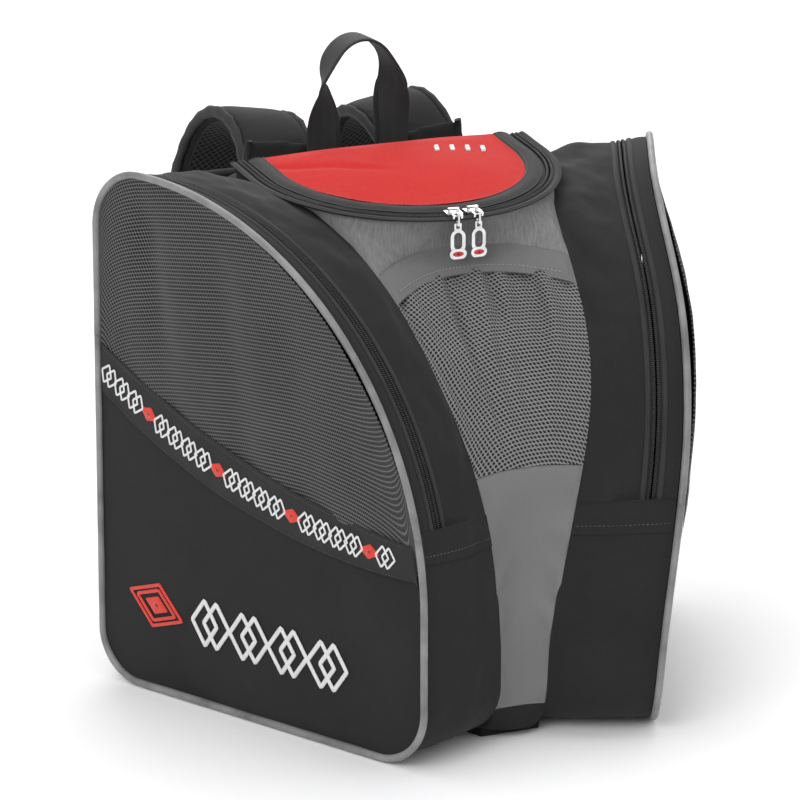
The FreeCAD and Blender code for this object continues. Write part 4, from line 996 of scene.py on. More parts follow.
def front_panels():
    panel_low, panel_high = node_box("lower_front_panel")
    kick_low, kick_high = node_box("front_kick_strip")

    def puckers(share, row, base):
        edge = np.exp(-((0.9 - np.abs(share)) / 0.3) ** 2)
        pleats = np.sin(base[..., 2] / 6.5 + 4 * rough(base, 50,
                                                       41)) * edge * (0.3 + 0.7 * np.sin(math.pi * row))
        return 1.5 * pleats + 2.0 * (1 - share ** 2) * np.sin(math.pi * row) ** 0.5 + 2.0 * rough(base, 32,
                                                                                                  42)

    panel = centre_panel("lower_front_panel", panel_low[2], panel_high[2], 110, 60, puckers, 2.0, GREY)
    finish_piece(panel, "shell", "fabric_grey", "lower_front_panel")

    def tucked(share, row, base):
        return 1.5 * np.sin(math.pi * row) + 0.8 * rough(base, 18, 43)

    kick = centre_panel("front_kick_strip", kick_low[2], kick_high[2], 16, 40, tucked, 2.0, BLACK)
    finish_piece(kick, "shell", "fabric_black", "front_kick_strip")

    mesh_low, mesh_high = node_box("mesh_pocket")
    _, hem_high = node_box("pocket_hem")

    def gathers(share, row, base):
        """Soft folds that fan out from the gathered mouth and fade towards the foot."""
        bow = 7.0 * np.sin(math.pi * row) ** 0.8 * (1 - share ** 2) ** 0.5
        swing = share + 0.10 * np.sin(4 * row + 2 * share)
        folds = 2.6 * np.sin(swing * 11 + 0.6) + 1.7 * np.sin(swing * 19 + 2.1) + 1.0 * np.sin(swing * 33)
        ridge = 3.2 * np.exp(-((share + 0.42 - 0.25 * row) / 0.05) ** 2) - 2.4 * np.exp(-((share - 0.30 + 0.1 * row) / 0.06) ** 2)
        fade = np.clip((row - 0.05) / 0.75, 0, 1) ** 1.2 * np.clip((1 - np.abs(share)) / 0.1, 0, 1)
        return bow + (folds + ridge) * fade + 1.2 * rough(base, 26, 44)

    net_piece = centre_panel("mesh_pocket", mesh_low[2], mesh_high[2] + 1, 120, 170, gathers, 1.2, FRONT_NET)
    _, row, plain = centre_grid(mesh_low[2], mesh_high[2] + 1, 120, 170)
    finish_piece(net_piece, "shell", "mesh_grey", "mesh_pocket")

    def hem_form(share, row, base):
        return 2.0 + 1.2 * np.sin(math.pi * row) + 0.8 * rough(base, 34, 45)

    hem = centre_panel("pocket_hem", mesh_high[2] - 1, hem_high[2] + 3, 18, 120, hem_form, 2.2, HEM)
    finish_piece(hem, "shell", "heather_grey", "pocket_hem")
    row_grid = np.array([v.co for v in hem.data.vertices], float)[:18 * 120].reshape(18, 120, 3) / MM
    line = row_grid[4, 5:-5]
    out = grid_normals(row_grid, (0, 120, 150))[4, 5:-5]
    row = stitches("hem_stitches", line + 0.2 * out, out, THREAD, 3.2, 2.1, 0.42, 0.0)
    finish_piece(row, "shell", "heather_grey")

    back_low, back_high = node_box("pocket_backing")

    row = np.linspace(0, 1, 40)[:, None]
    share = np.linspace(-1, 1, 50)[None, :]
    y = back_low[1] + (6 - back_low[1]) * row + 0 * share
    z = back_low[2] + (back_high[2] - back_low[2]) * row + 0 * share
    grid = np.stack(np.broadcast_arrays(share * (inner_half_width(y) - 0.5), y, z), -1)
    grid = grid + 0.5 * rough(grid, 40, 46)[..., None] * (0, -0.8, 0.6)
    backing = cloth("pocket_backing", grid, 2.0, BACK_BLACK, away=(0, 120, 150))
    finish_piece(backing, "shell", "fabric_black", "pocket_backing")


def cone(first_angle, last_angle, top, foot, rows, columns, puff, seed, wrinkle):
    """A part of the wall that hangs from the main zipper, as a grid. Angles are from the front, degrees."""
    angle = np.radians(np.linspace(first_angle, last_angle, columns))[None, :]
    row = np.linspace(0, 1, rows)[:, None]
    (r0, lift0), (r1, lift1) = top, foot
    radius = r0 + (r1 - r0) * row
    lift = lift0 + (lift1 - lift0) * row
    base = lean_point(radius * np.sin(angle), -radius * np.cos(angle), lift)
    radius = radius + puff * np.sin(math.pi * row) + wrinkle * rough(base, 30, seed)
    return lean_point(radius * np.sin(angle), -radius * np.cos(angle), lift)


YOKE_END = math.radians(69)
HEM_SHARE = 0.62


def yoke():
    """The heather cloth between the main zipper, the hem and the two gussets' inner seams."""
    _, high = node_box("pocket_hem")
    row = np.linspace(0, 1, 34)[:, None, None]
    share = np.linspace(-1, 1, 160)
    angle = YOKE_END * share
    top = lean_point(124.5 * np.sin(angle), -124.5 * np.cos(angle), -0.6)
    hem_height = high[2] + 2.0
    climb = np.clip((np.abs(share) - HEM_SHARE) / (1 - HEM_SHARE), 0, 1)
    start, end = station_at(hem_height), station_at(397.0)
    station = start + (end - start) * climb
    seam = np.where((share < 0)[:, None], seam_point("left", station), seam_point("right", station))
    across = np.clip(share / HEM_SHARE, -1, 1)
    middle = np.array([0.0, float(np.interp(hem_height, CENTRE_HEIGHTS, CENTRE_LINE)), hem_height])
    reach = np.abs(across)[:, None]
    foot = middle + (seam - middle) * np.concatenate([reach, reach ** 2.2, reach ** 2.2], -1)
    grid = top + (foot - top) * row
    base = grid.copy()
    tuck = np.sin(math.pi * row[..., 0]) * (-1.6 + 1.2 * rough(base, 34, 51)) + 0.5 * rough(base, 12, 54)
    grid = grid + tuck[..., None] * grid_normals(grid, (0, 101, 330))
    return cloth("yoke", grid, 1.8, HEATHER, away=(0, 101, 330))


def yoke_and_collars():
    finish_piece(yoke(), "shell", "heather_grey", "yoke")
    for side in SIDES:
        way = sign_of(side)
        grid = cone(way * 66, way * 90, (124, -0.6), (120, -26), 18, 50, 1.6, 52, 1.4)
        arc = cloth("arc", grid, 1.8, BLACK, away=(0, 101, 380))
        row = np.linspace(0, 1, 18)[:, None]
        back = np.linspace(0, ZIP_LEG + 3, 20)[None, :]
        base = lean_point(way * (124 - 4 * row), back, -0.6 - 25 * row)
        puff = 1.2 * rough(base, 30, 53)
        leg = cloth("leg", lean_point(way * (124 - 4 * row + puff), back, -0.6 - 25 * row), 1.8, BLACK,
                    away=(0, 101, 380))
        finish_piece(join(f"collar_{side}", [arc, leg]), "shell", "fabric_black", f"collar_{side}")


front_panels()
yoke_and_collars()

# ---------------------------------------------------------------- lid and main zipper


def lid_strip(inner, outer, turns, columns, lift, wrinkle, seed, crown=0.0):
    """A band of the lid's U between two radii."""
    turn = np.linspace(-1, 1, turns)[:, None]
    radius = np.linspace(inner, outer, columns)[None, :]
    base = lid_point(radius, turn, 0.0)
    share = (radius - inner) / (outer - inner)
    height = lift + crown * np.sin(math.pi * share) + wrinkle * rough(base, 26, seed)
    return lid_point(radius, turn, height)


def lid():
    reach = 101.0
    x = reach * np.sin(np.linspace(-math.pi / 2, math.pi / 2, 110))[None, :] * 0.9995
    row = np.linspace(0, 1, 80)[:, None]
    front = -np.sqrt(reach ** 2 - x ** 2)
    y = front + (ZIP_LEG - front) * row
    base = lean_point(x, y, 0.0)
    rim = np.minimum(reach - np.hypot(x, np.minimum(y, 0)), 60) / 60
    crown = 6.0 * ease(rim) ** 0.7 + 1.3 * rough(base, 60, 61) + 0.5 * rough(base, 22, 62)
    crown = crown * ease((ZIP_LEG - y) / 30 + 0.35)
    crease = 2.0 * np.exp(-((0.55 * x + y + 40) / 6) ** 2) * ease((-x - 5) / 40)
    panel = cloth("lid_panel", lean_point(x, y, 2.4 + crown - crease), 2.4, RED, away=(0, 100, 300))
    finish_piece(panel, "lid", "fabric_red", "lid_panel")
    binding = cloth("lid_binding", lid_strip(99.5, 114.5, 180, 14, 1.6, 0.5, 63, 1.9), 2.4, BINDING,
                    away=(0, 100, 300))
    finish_piece(binding, "lid", "binding_black", "lid_binding")
    turns = np.linspace(-1, 1, 300)
    line = lid_point(102.2, turns, 3.6)
    out = np.broadcast_to(lean_point(0, 0, 1) - lean_point(0, 0, 0), line.shape)
    finish_piece(stitches("lid_binding_stitches", line, out, DARK_THREAD, 3.0, 2.0, 0.3, 0.0), "lid",
                 "binding_black")
    halves = (("lid_zipper", 113.5, 119.2, "lid", 118.2), ("body_zipper", 120.8, 129.0, "shell", 121.9))
    for node, inner, outer, body, teeth_at in halves:
        tape = cloth(node, lid_strip(inner, outer, 200, 8, 0.4, 0.2, 64), 1.2, TAPE, away=(0, 100, 300))
        finish_piece(tape, body, "zipper_black", node)
        path = lid_point(teeth_at, turns, 0.9)
        side_way = unit(np.cross(tangents(path), out))
        finish_piece(coil(f"{node}_teeth", path, out, side_way, COIL), body, "zipper_black")
    roll = cloth("body_zipper_lip", lid_strip(124.5, 130.0, 200, 8, 0.9, 0.4, 65, 1.1), 1.4, BINDING,
                 away=(0, 100, 300))
    finish_piece(roll, "shell", "zipper_black")
    lid_motif()


def lid_motif():
    """Slanted bars stitched in white near the lid's rear edge."""
    bars = []
    for index in range(4):
        x0, y0 = 34 + 13 * index, 4 - 1.5 * index
        corners = np.array([(-3, -6), (1, -6), (5, 6), (1, 6)], float)
        x, y = x0 + corners[:, 0] * 0.9, y0 + corners[:, 1] * 0.9
        radius = np.hypot(x, np.minimum(y, 0))
        crown = 6.5 * (1 - (radius / 101) ** 2.2)
        points = lean_point(x, y, 3.6 + crown)
        rim = resample(np.concatenate([points, points[:1]]), 1.2)[:-1]
        centre, up = rim.mean(0), unit(lean_point(0, 0, 1) - lean_point(0, 0, 0))
        rings = [rim - up * 1.6, rim] + [centre + (rim - centre) * k + up * 0.5 * (1 - k) for k in (0.8,
                                                                                                    0.4, 0.1)]
        grid = np.stack(rings)
        faces = grid_faces(len(rings), len(rim), wrap=True).tolist()
        faces += [[(len(rings) - 1) * len(rim) + k for k in range(len(rim))], list(range(len(rim)))[::-1]]
        bars.append(add_mesh(f"bar{index}", grid.reshape(-1, 3), faces,
                             np.zeros((grid.shape[0] * grid.shape[1], 2)), WHITE_THREAD))
    finish_piece(join("lid_motif", bars), "lid", "fabric_red")


lid()

# ---------------------------------------------------------------- back


def settle(piece, pressure, cap, voxel=4.5):
    """Puffs a closed pad with a short cloth simulation and applies the result."""
    modifier = piece.modifiers.new("remesh", "REMESH")
    modifier.mode = "VOXEL"
    modifier.voxel_size = voxel * MM
    bpy.context.view_layer.objects.active = piece
    apply_modifier(piece, modifier)
    before = np.array([v.co for v in piece.data.vertices], float)
    swell = piece.modifiers.new("cloth", "CLOTH")
    swell.settings.use_pressure = True
    swell.settings.uniform_pressure_force = pressure
    swell.settings.effector_weights.gravity = 0
    swell.settings.quality = 5
    for at in range(1, 21):
        bpy.context.scene.frame_set(at)
    apply_modifier(piece, swell)
    bpy.context.scene.frame_set(1)
    after = np.array([v.co for v in piece.data.vertices], float)
    move = after - before
    length = np.linalg.norm(move, axis=1, keepdims=True)
    after = before + move * np.minimum(1, cap * MM / np.maximum(length, 1e-9))
    piece.data.vertices.foreach_set("co", after.astype(np.float32).ravel())
    smooth = piece.modifiers.new("smooth", "SUBSURF")
    smooth.levels = 1
    apply_modifier(piece, smooth)
    piece.data.polygons.foreach_set("use_smooth", [True] * len(piece.data.polygons))
    return piece


def apply_modifier(piece, modifier):
    """Bakes one modifier into the mesh."""
    others = [m for m in piece.modifiers if m != modifier]
    shown = [(m, m.show_viewport) for m in others]
    for m in others:
        m.show_viewport = False
    graph = bpy.context.evaluated_depsgraph_get()
    mesh = bpy.data.meshes.new_from_object(piece.evaluated_get(graph))
    for m, state in shown:
        m.show_viewport = state
    piece.modifiers.remove(modifier)
    old = piece.data
    piece.data = mesh
    if old.materials and not mesh.materials:
        mesh.materials.append(old.materials[0])
    mesh.name = piece.name


def planar_uv(piece, first, second):
    """Lays the weave flat along two directions, for a mesh that has lost its own layout."""
    mesh = piece.data
    layer = mesh.uv_layers.get("cloth") or mesh.uv_layers.new(name="cloth")
    points = np.array([v.co for v in mesh.vertices], float)
    loops = np.zeros(len(mesh.loops), int)
    mesh.loops.foreach_get("vertex_index", loops)
    flat = np.stack([points @ np.array(first, float), points @ np.array(second, float)], -1)
    layer.data.foreach_set("uv", flat[loops].astype(np.float32).ravel())


def back():
    low, high = node_box("back_panel")
    x = high[0] * 0.9999 * np.sin(np.linspace(-math.pi / 2, math.pi / 2, 110))[None, :]
    corner = 26.0
    notch = corner - np.sqrt(corner ** 2 - np.maximum(np.abs(x) - high[0] + corner, 0) ** 2)
    row = np.linspace(0, 1, 110)[:, None]
    z = low[2] + notch + (high[2] + 1 - low[2] - 2 * notch) * row
    base = np.stack(np.broadcast_arrays(x, high[1], z), -1)
    share = np.clip(1 - np.abs(x) / high[0], 0, 1)
    y = high[1] + 0.3 + 0.9 * rough(base, 60, 71) * np.minimum(1, share * 6) - 0.8 * np.exp(-(x / 8) ** 2)
    panel = cloth("back_panel", np.stack(np.broadcast_arrays(x, y, z), -1), 3.0, BACK_BLACK, away=(0, 0, 200))
    finish_piece(panel, "shell", "fabric_black", "back_panel")
    rim = rounded((low[0], low[2]), (high[0], high[2] + 1), corner)
    path = np.stack(np.broadcast_arrays(rim[:, 0], high[1] - 1.2, rim[:, 1]), -1)
    path = resample(np.concatenate([path, path[:1]]), 4)[:-1]
    out = np.broadcast_to((0.0, 1.0, 0.0), path.shape)
    across = unit(np.cross(tangents(np.concatenate([path[-1:], path, path[:1]]))[1:-1], out))
    edge = sweep("back_panel_binding", path, across, out, circle(3.4, 12, 0.8), BINDING, closed=True)
    finish_piece(edge, "shell", "binding_black")

    _, yoke_high = node_box("rear_yoke")
    row = np.linspace(0, 1, 40)[:, None]
    share = np.linspace(-1, 1, 120)[None, :]
    y = 139 + (yoke_high[1] + 1 - 139) * row + 0 * share
    half = 129 + (yoke_high[0] - 10 - 129) * row ** 0.6
    x = share * half
    flat_top = lean_point(0, HINGE_Y - ZIP_CENTRE[1], 0.0)[2]
    z = flat_top - 0.3 - (flat_top - 394) * row ** 1.6 - 16 * ease((np.abs(share) - 0.62) / 0.38) * (1 - 0.4 * row)
    base = np.stack(np.broadcast_arrays(x, y, z), -1)
    z = z + 1.3 * rough(base, 32, 72)
    grid = np.stack(np.broadcast_arrays(x, y, z), -1)
    rear = cloth("rear_yoke", grid, 2.0, BLACK, away=(0, 120, 300))
    finish_piece(rear, "shell", "fabric_black", "rear_yoke")
    for side in SIDES:
        pad_low, pad_high = node_box(f"back_pad_{side}")
        back_pad(side, pad_low, pad_high)


def rounded(low, high, radius, count=10):
    """Corner-rounded rectangle as (x, z) points."""
    points = []
    for centre, start in (((high[0] - radius, high[1] - radius), 0), ((low[0] + radius, high[1] - radius),
                                                                      90),
                          ((low[0] + radius, low[1] + radius), 180), ((high[0] - radius, low[1] + radius),
                                                                      270)):
        for turn in np.radians(np.linspace(start, start + 90, count)):
            points.append((centre[0] + radius * math.cos(turn), centre[1] + radius * math.sin(turn)))
    return np.array(points)


def back_pad(side, low, high):
    """A spacer-net pad on the back, puffed, with a binding round its edge and sewn channels."""
    rim = rounded((low[0] + 3, low[2] + 3), (high[0] - 3, high[2] - 3), 18)
    centre = rim.mean(0)
    base_y, top_y = low[1] + 0.6, high[1] - 3.5
    rings = []
    for share, y in ((0.96, base_y), (1.0, base_y + 2.5), (1.0, top_y - 2.5), (0.96, top_y),
                     (0.7, top_y + 0.4), (0.35, top_y + 0.6)):
        edge = centre + (rim - centre) * share
        rings.append(np.stack(np.broadcast_arrays(edge[:, 0], y, edge[:, 1]), -1))
    grid = np.stack(rings)
    columns = len(rim)
    faces = grid_faces(len(rings), columns, wrap=True).tolist()
    faces += [[(len(rings) - 1) * columns + k for k in range(columns)], list(range(columns))[::-1]]
    pad = add_mesh(f"back_pad_{side}", grid.reshape(-1, 3), faces, None, SPACER)
    settle(pad, 3.0, 3.0)
    points = np.array([v.co for v in pad.data.vertices], float)
    top = points[:, 1] > (top_y - 2.5) * MM
    channel = np.zeros(len(points))
    for share in (0.25, 0.5, 0.75):
        z = (low[2] + (high[2] - low[2]) * share) * MM
        channel += 3.6 * MM * np.exp(-((points[:, 2] - z) / (4.0 * MM)) ** 2)
    points[top, 1] -= channel[top]
    pad.data.vertices.foreach_set("co", points.astype(np.float32).ravel())
    planar_uv(pad, (1, 0, 0), (0, 0, 1))
    finish_piece(pad, "shell", "spacer_mesh", f"back_pad_{side}")
    path = np.stack(np.broadcast_arrays(rim[:, 0], base_y + 1.6, rim[:, 1]), -1)
    path = resample(np.concatenate([path, path[:1]]), 3)[:-1]
    out = np.broadcast_to((0.0, 1.0, 0.0), path.shape)
    closed_path = np.concatenate([path[-1:], path, path[:1]])
    across = unit(np.cross(tangents(closed_path)[1:-1], out))
    edge = sweep(f"back_pad_binding_{side}", path, across, out, circle(2.6, 10, 0.8), BINDING, closed=True)
    finish_piece(edge, "shell", "binding_black")


def strap_frame(side, across, along_y, along_z):
    """From a strap's own plane to the bag: z runs along the line through its two ends."""
    low, high = np.array([120.0, 186.0, 45.0]), np.array([64.0, 186.0, 392.0])
    way = sign_of(side)
    up = unit(high - low)
    up[0] *= way
    origin = low * (way, 1, 1)
    sideways = np.array([up[2], 0, -up[0]])
    return origin + np.asarray(across)[..., None] * sideways + np.asarray(along_y)[..., None] * (0, 1, 0) \
        + np.asarray(along_z)[..., None] * up


STRAP_WIDTH = 66
ARCH_CENTRE, ARCH_RADIUS = (64.9, 309.1), 72
SWEEP_RADIUS, SWEEP_START, SWEEP_END, STRAP_TAIL = 150, 25, -22, 105


def strap_line():
    """The strap's middle line in its own (y, z) plane, from the sewn upper end down."""
    points = [(0.0, 372.0), (3.0, 362.0)]
    for turn in np.radians(np.linspace(150, SWEEP_START, 26)):
        points.append((ARCH_CENTRE[0] + ARCH_RADIUS * math.cos(turn),
                       ARCH_CENTRE[1] + ARCH_RADIUS * math.sin(turn)))
    start = np.radians(SWEEP_START)
    centre = np.array(ARCH_CENTRE) + (ARCH_RADIUS - SWEEP_RADIUS) * np.array([math.cos(start),
                                                                              math.sin(start)])
    for turn in np.radians(np.linspace(SWEEP_START, SWEEP_END, 18))[1:]:
        points.append(tuple(centre + SWEEP_RADIUS * np.array([math.cos(turn), math.sin(turn)])))
    last = np.radians(SWEEP_END)
    heading = np.array([math.sin(last), -math.cos(last)])
    points.append(tuple(np.array(points[-1]) + heading * STRAP_TAIL))
    path = resample([(0, y, z) for y, z in points], 6)
    return path[:, 1:]


def strap(side):
    """A padded strap: puffed body, spacer net inside, rolled binding along both edges."""
    line = strap_line()
    tangent = unit(np.gradient(line, axis=0))
    normal = np.stack([-tangent[:, 1], tangent[:, 0]], -1)
    share = np.linspace(0, 1, len(line))
    half = STRAP_WIDTH / 2 * (1 - 0.12 * np.clip((share - 0.6) / 0.4, 0, 1))
    thick = 5.6 - 3.6 * np.exp(-(share / 0.035) ** 2) - 2.4 * np.exp(-((1 - share) / 0.05) ** 2)
    section = np.linspace(0, 2 * math.pi, 40, endpoint=False)
    power = 0.42
    wide = np.sign(np.cos(section)) * np.abs(np.cos(section)) ** power
    high = np.sign(np.sin(section)) * np.abs(np.sin(section)) ** 0.75
    across = half[:, None] * 0.95 * wide[None, :]
    offset = thick[:, None] * high[None, :]
    y = line[:, :1] + normal[:, :1] * offset
    z = line[:, 1:] + normal[:, 1:] * offset
    rings = strap_frame(side, across, y, z)
    columns = len(section)
    faces = grid_faces(len(line), columns, wrap=True).tolist()
    faces += [list(range(columns))[::-1], [(len(line) - 1) * columns + k for k in range(columns)]]
    body = add_mesh(f"shoulder_strap_{side}", rings.reshape(-1, 3), faces, None, BLACK)
    settle(body, 3.0, 2.2, 4.0)
    planar_uv(body, (1, 0, 0), (0, 0.7, 0.7))
    finish_piece(body, f"strap_{side}", "fabric_black", f"shoulder_strap_{side}")

    inner_half = half - 9
    cells = np.linspace(-1, 1, 26)[None, :]
    inside = np.sign(normal[len(line) // 4, 1]) * -1
    depth = (thick + 1.6)[:, None] * inside * (1 - 0.25 * cells ** 4)
    y = line[:, :1] + normal[:, :1] * depth
    z = line[:, 1:] + normal[:, 1:] * depth
    keep = slice(4, len(line) - 4)
    grid = strap_frame(side, (inner_half[:, None] * cells)[keep], y[keep], z[keep])
    pad = cloth(f"strap_lining_{side}", grid, 1.6, SPACER, away=strap_frame(side, 0.0,
                                                                            *(line[len(line) // 4])))
    finish_piece(pad, f"strap_{side}", "spacer_mesh")
    for label, way in (("outer", 1), ("inner", -1)):
        path = strap_frame(side, half * 0.97 * way, line[:, 0], line[:, 1])
        normal_3d = unit(strap_frame(side, 0 * share, normal[:, 0],
                                     normal[:, 1]) - strap_frame(side, 0 * share, 0 * share, 0 * share))
        across_3d = unit(np.cross(tangents(path), normal_3d))
        crumple = 1 + 0.10 * np.sin(np.arange(len(path)) * 1.9) + 0.12 * rough(path, 9, 81 + way)
        shape = circle(1.0, 12)[None] * np.stack([3.2 * crumple, np.minimum(thick * 0.92, 5.0) * crumple],
                                                 -1)[:, None, :]
        finish_piece(sweep(f"strap_binding_{label}_{side}", path, across_3d, normal_3d, shape, BINDING),
                     f"strap_{side}", "binding_black")


def webbing_strip(name, path, width_way, width, thickness, material):
    """A flat tape along a path, with softly rounded edges."""
    path = np.asarray(path, float)
    width_way = unit(width_way)
    face = unit(np.cross(tangents(path), width_way))
    edge, half = thickness / 2, width / 2
    turns = np.radians(np.linspace(-90, 90, 5))
    cap = [(half - edge + edge * math.cos(t), edge * math.sin(t)) for t in turns]
    top = [(x, edge) for x in np.linspace(half - edge, edge - half, 9)[1:-1]]
    shape = cap + top + [(-x, -z) for x, z in cap] + [(-x, -z) for x, z in top]
    return sweep(name, path, width_way, face, shape, material)


def handle():
    """The carrying handle: a webbing loop sewn flat at both ends, turned a quarter in each leg."""
    low, high = node_box("carry_handle")
    spring, top = 452.0, high[2]
    radius = top - spring - 1.6
    y0 = (low[1] + high[1]) / 2
    points = [(-30.0, y0, z) for z in np.linspace(low[2] - 4, spring, 16)]
    points += [(-31 * math.cos(t), y0,
                spring + radius * math.sin(t)) for t in np.radians(np.linspace(6, 174, 30))]
    points += [(30.0, y0, z) for z in np.linspace(spring, low[2] - 4, 16)]
    path = resample(points, 3)
    climb = np.clip((path[:, 2] - (low[2] + 8)) / (top - low[2] - 22), 0, 1)
    climb = climb * climb * (3 - 2 * climb)
    turn = climb * math.pi / 2
    ahead = tangents(path)
    flat = unit(np.cross(ahead, (0.0, 1.0, 0.0)))
    flat *= np.sign(flat[:, :1] + 1e-9) * np.sign(ahead[:, 2:] + 1e-9) * np.sign(ahead[:, 2:] + 1e-9)
    flat = unit(np.cross((0.0, 1.0, 0.0), ahead))
    way = flat * np.cos(turn)[:, None] + np.array([0.0, 1.0, 0.0]) * np.sin(turn)[:, None]
    loop = webbing_strip("carry_handle", path, way, 30, 2.6, WEBBING)
    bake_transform(loop)
    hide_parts("carry_handle")
    end_low, end_high = node_box("handle_ends")
    ends = []
    for x in (-30.0, 30.0):
        z = np.linspace(end_low[2], end_high[2] + 1.0, 12)
        path = np.stack(np.broadcast_arrays(x, y0, z), -1)
        ends.append(webbing_strip("end", path, np.broadcast_to((1.0, 0, 0), path.shape), 30, 2.8, WEBBING))
        box_x, box_low, box_high = 11.0, end_low[2] + 4, end_high[2] - 4
        corners = [(-box_x, box_low), (box_x, box_low), (box_x, box_high), (-box_x, box_high), (-box_x,
                                                                                                box_low),
                   (box_x, box_high), (box_x, box_low), (-box_x, box_high)]
        line = np.array([(x + a, y0 + 1.5, b) for a, b in corners])
        ends.append(stitches("cross", resample(line, 1.0), np.broadcast_to((0, 1.0, 0), resample(line,
                                                                                                 1.0).shape),
                             THREAD, 2.6, 1.8, 0.3, 0.0))
    finish_piece(join("handle_ends", ends), "shell", "webbing_black", "handle_ends")


def strap_ends():
    """Sewn ends of the straps on the back panel, and the webbing and ladder locks at the lower ends."""
    _, high = node_box("strap_ends")
    parts = []
    for side in SIDES:
        way = sign_of(side)
        x = np.linspace(-STRAP_WIDTH / 2, STRAP_WIDTH / 2, 40)[None, :] + way * 64
        z = np.linspace(370, 398, 16)[:, None]
        base = np.stack(np.broadcast_arrays(x, high[1] + 0.0, z), -1)
        parts.append(cloth("upper", base + 0.4 * rough(base, 20, 91)[..., None] * (0, 1, 0), 2.4, BLACK,
                           away=(0, 0, 380)))
        for row in (374.0, 394.0):
            line = np.stack(np.broadcast_arrays(np.linspace(way * 64 - 30, way * 64 + 30, 30),
                                                high[1] + 0.7, row), -1)
            parts.append(stitches("row", line, np.broadcast_to((0, 1.0, 0), line.shape), THREAD, 3.0, 2.0,
                                  0.3, 0.0))
        z = np.linspace(27, 53, 16)[:, None]
        x = np.linspace(-16.5, 16.5, 20)[None, :] + way * 120
        base = np.stack(np.broadcast_arrays(x, 182.7, z), -1)
        parts.append(cloth("lower", base + 0.3 * rough(base, 20, 92)[..., None] * (0, 1, 0), 3.6,
                           BACK_BLACK, away=(0, 0, 40)))
    finish_piece(join("strap_ends", parts), "shell", "fabric_black", "strap_ends")
    line = strap_line()
    for side in SIDES:
        lock = node_box(f"ladder_lock_{side}")
        nodes = frame["nodes"]
        lock_node = nodes[f"ladder_lock_{side}"]
        lock_node.data.materials.clear()
        lock_node.data.materials.append(PLASTIC)
        edge = lock_node.modifiers.new("edge", "BEVEL")
        edge.width, edge.segments = 0.0009, 3
        middle = (np.array(lock[0]) + np.array(lock[1])) / 2
        start = strap_frame(side, 0.0, 3.0, 6.0)
        upper = middle
        share = np.linspace(0, 1, 40)[:, None]
        sag = 4 * share * (1 - share) * np.array([0, 1.0, -0.8]) * 5
        path = start + (upper - start) * share + sag
        sideways = strap_frame(side, 1.0, 0.0, 0.0) - strap_frame(side, 0.0, 0.0, 0.0)
        tape = webbing_strip(f"strap_webbing_{side}", path, np.broadcast_to(sideways, path.shape), 25, 2.0,
                             WEBBING)
        finish_piece(tape, f"strap_{side}", "webbing_black", f"strap_webbing_{side}")


back()
for each in SIDES:
    strap(each)
handle()
strap_ends()

# ---------------------------------------------------------------- base and metal


def base():
    """The base board in its sleeve. Its edge is drawn in from the walls, and follows the right pocket's lean."""
    node = frame["nodes"]["base_panel"]
    points = np.array([v.co for v in node.data.vertices], float) / MM
    middle = np.array([0.0, (points[:, 1].min() + points[:, 1].max()) / 2, 0.0])
    reach = (points - middle) * (1, 1, 0)
    length = np.linalg.norm(reach, axis=1, keepdims=True)
    points = slack(points - reach / np.maximum(length, 1) * 7.0)
    piece = add_mesh("base_panel", points, [tuple(f.vertices) for f in node.data.polygons], None, BACK_BLACK)
    edge = piece.modifiers.new("edge", "BEVEL")
    edge.width, edge.segments = 0.0022, 4
    finish_piece(piece, "shell", "fabric_black", "base_panel")


def metal():
    """Chrome on sliders, links and pulls, with softened edges, and a red inlay on each pull's cap."""
    for side in SIDES:
        for node in (f"main_slider_{side}", f"slider_link_{side}", f"main_pull_{side}", f"side_slider_{side}",
                     f"side_pull_{side}"):
            piece = frame["nodes"][node]
            piece.data.materials.clear()
            piece.data.materials.append(CHROME)
            edge = piece.modifiers.new("edge", "BEVEL")
            edge.width, edge.segments, edge.limit_method = 0.0004, 2, "ANGLE"
            piece.data.polygons.foreach_set("use_smooth", [True] * len(piece.data.polygons))
            edge.harden_normals = True
        for kind in ("main", "side"):
            inlay(side, kind)


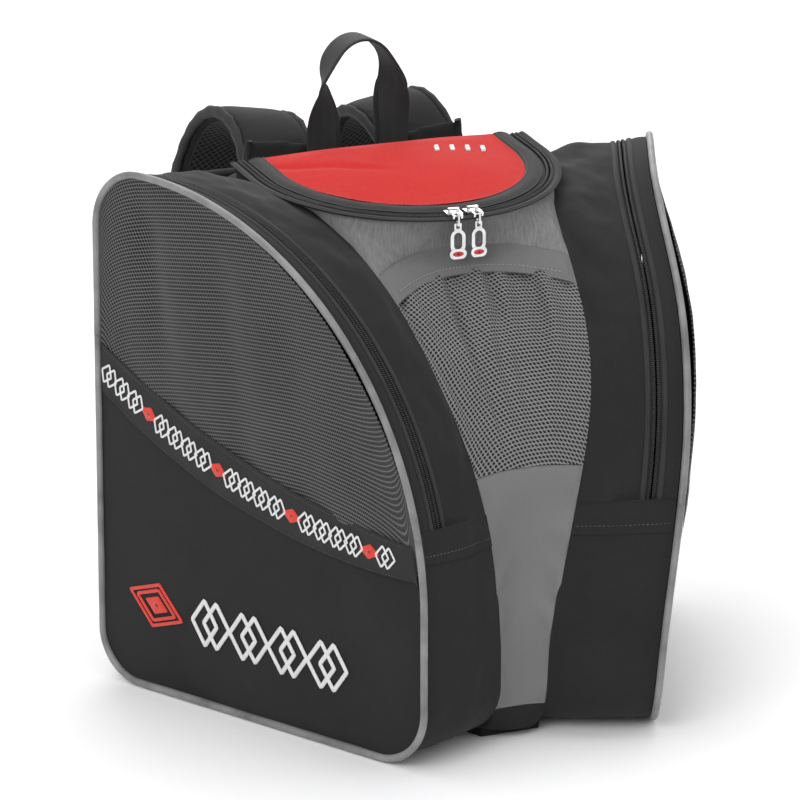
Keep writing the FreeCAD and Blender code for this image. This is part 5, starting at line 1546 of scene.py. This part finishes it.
def inlay(side, kind):
    """Enamel ovals let into both faces of a pull's end cap."""
    node = frame["nodes"][f"{kind}_pull_{side}"]
    points = np.array([v.co for v in node.data.vertices], float) / MM
    low = points[:, 2].min()
    cap = points[points[:, 2] < low + 9]
    centre = (cap.min(0) + cap.max(0)) / 2
    centre[2] = low + 4.0
    flat = cap[:, :2] - centre[:2]
    _, _, axes = np.linalg.svd(flat - flat.mean(0))
    wide = np.array([axes[0][0], axes[0][1], 0.0])
    through = np.array([axes[1][0], axes[1][1], 0.0])
    half = np.abs(flat @ axes[1]).max()
    ovals = []
    for way in (1, -1):
        rings = []
        for share, lift in ((1.0, -0.6), (1.0, 0.05), (0.9, 0.22), (0.6, 0.34), (0.2, 0.38)):
            turns = np.linspace(0, 2 * math.pi, 28, endpoint=False)
            rings.append([centre + wide * 4.6 * share * math.cos(t) + np.array([0,
                                                                                0,
                                                                                1]) * 2.1 * share * math.sin(t)
                          + through * way * (half + lift) for t in turns])
        grid = np.array(rings)
        faces = grid_faces(len(rings), 28, wrap=True).tolist()
        faces += [[(len(rings) - 1) * 28 + k for k in range(28)], list(range(28))[::-1]]
        ovals.append(add_mesh("oval", grid.reshape(-1, 3), faces, None, RED_ENAMEL))
    finish_piece(join(f"{kind}_pull_inlay_{side}", ovals), f"{kind}_pull_{side}", "fabric_red")


base()
metal()

# ---------------------------------------------------------------- studio


def studio():
    floor_mesh = bpy.data.meshes.new("floor")
    reach = 60.0
    floor_mesh.from_pydata([(-reach, -reach, 0), (reach, -reach, 0), (reach, reach, 0), (-reach, reach, 0)],
                           [], [(0, 1, 2, 3)])
    floor = bpy.data.objects.new("floor", floor_mesh)
    bpy.context.scene.collection.objects.link(floor)
    floor_mesh.materials.append(floor_paint())
    floor.location.z = -0.0004
    world = bpy.data.worlds.new("studio")
    bpy.context.scene.world = world
    world.use_nodes = True
    world.node_tree.nodes["Background"].inputs[0].default_value = (1, 1, 1, 1)
    world.node_tree.nodes["Background"].inputs[1].default_value = 0.72
    target = Vector((0, 0, 0.2))
    lamps = (("key", (-2.1, -1.7, 2.0), 1.9, 40), ("fill", (2.2, -1.6, 1.2), 1.8, 7), ("top", (0.2, 0.5,
                                                                                               2.6), 1.8, 26),
             ("rear", (0.8, 2.6, 1.6), 1.6, 22))
    for name, place, size, power in lamps:
        data = bpy.data.lights.new(name, "AREA")
        data.size, data.energy = size, power
        lamp = bpy.data.objects.new(name, data)
        bpy.context.scene.collection.objects.link(lamp)
        lamp.location = place
        lamp.rotation_euler = (target - Vector(place)).to_track_quat("-Z", "Y").to_euler()


def camera():
    data = bpy.data.cameras.new("camera")
    data.lens = 224.06
    data.sensor_width = 36
    data.clip_end = 50
    piece = bpy.data.objects.new("camera", data)
    bpy.context.scene.collection.objects.link(piece)
    piece.location = (-1.611, -3.406, 1.330)
    piece.rotation_euler = Vector((0.4012, 0.8727, -0.2783)).to_track_quat("-Z", "Y").to_euler()
    bpy.context.scene.camera = piece


studio()
camera()
bpy.context.scene.view_settings.view_transform = "Standard"
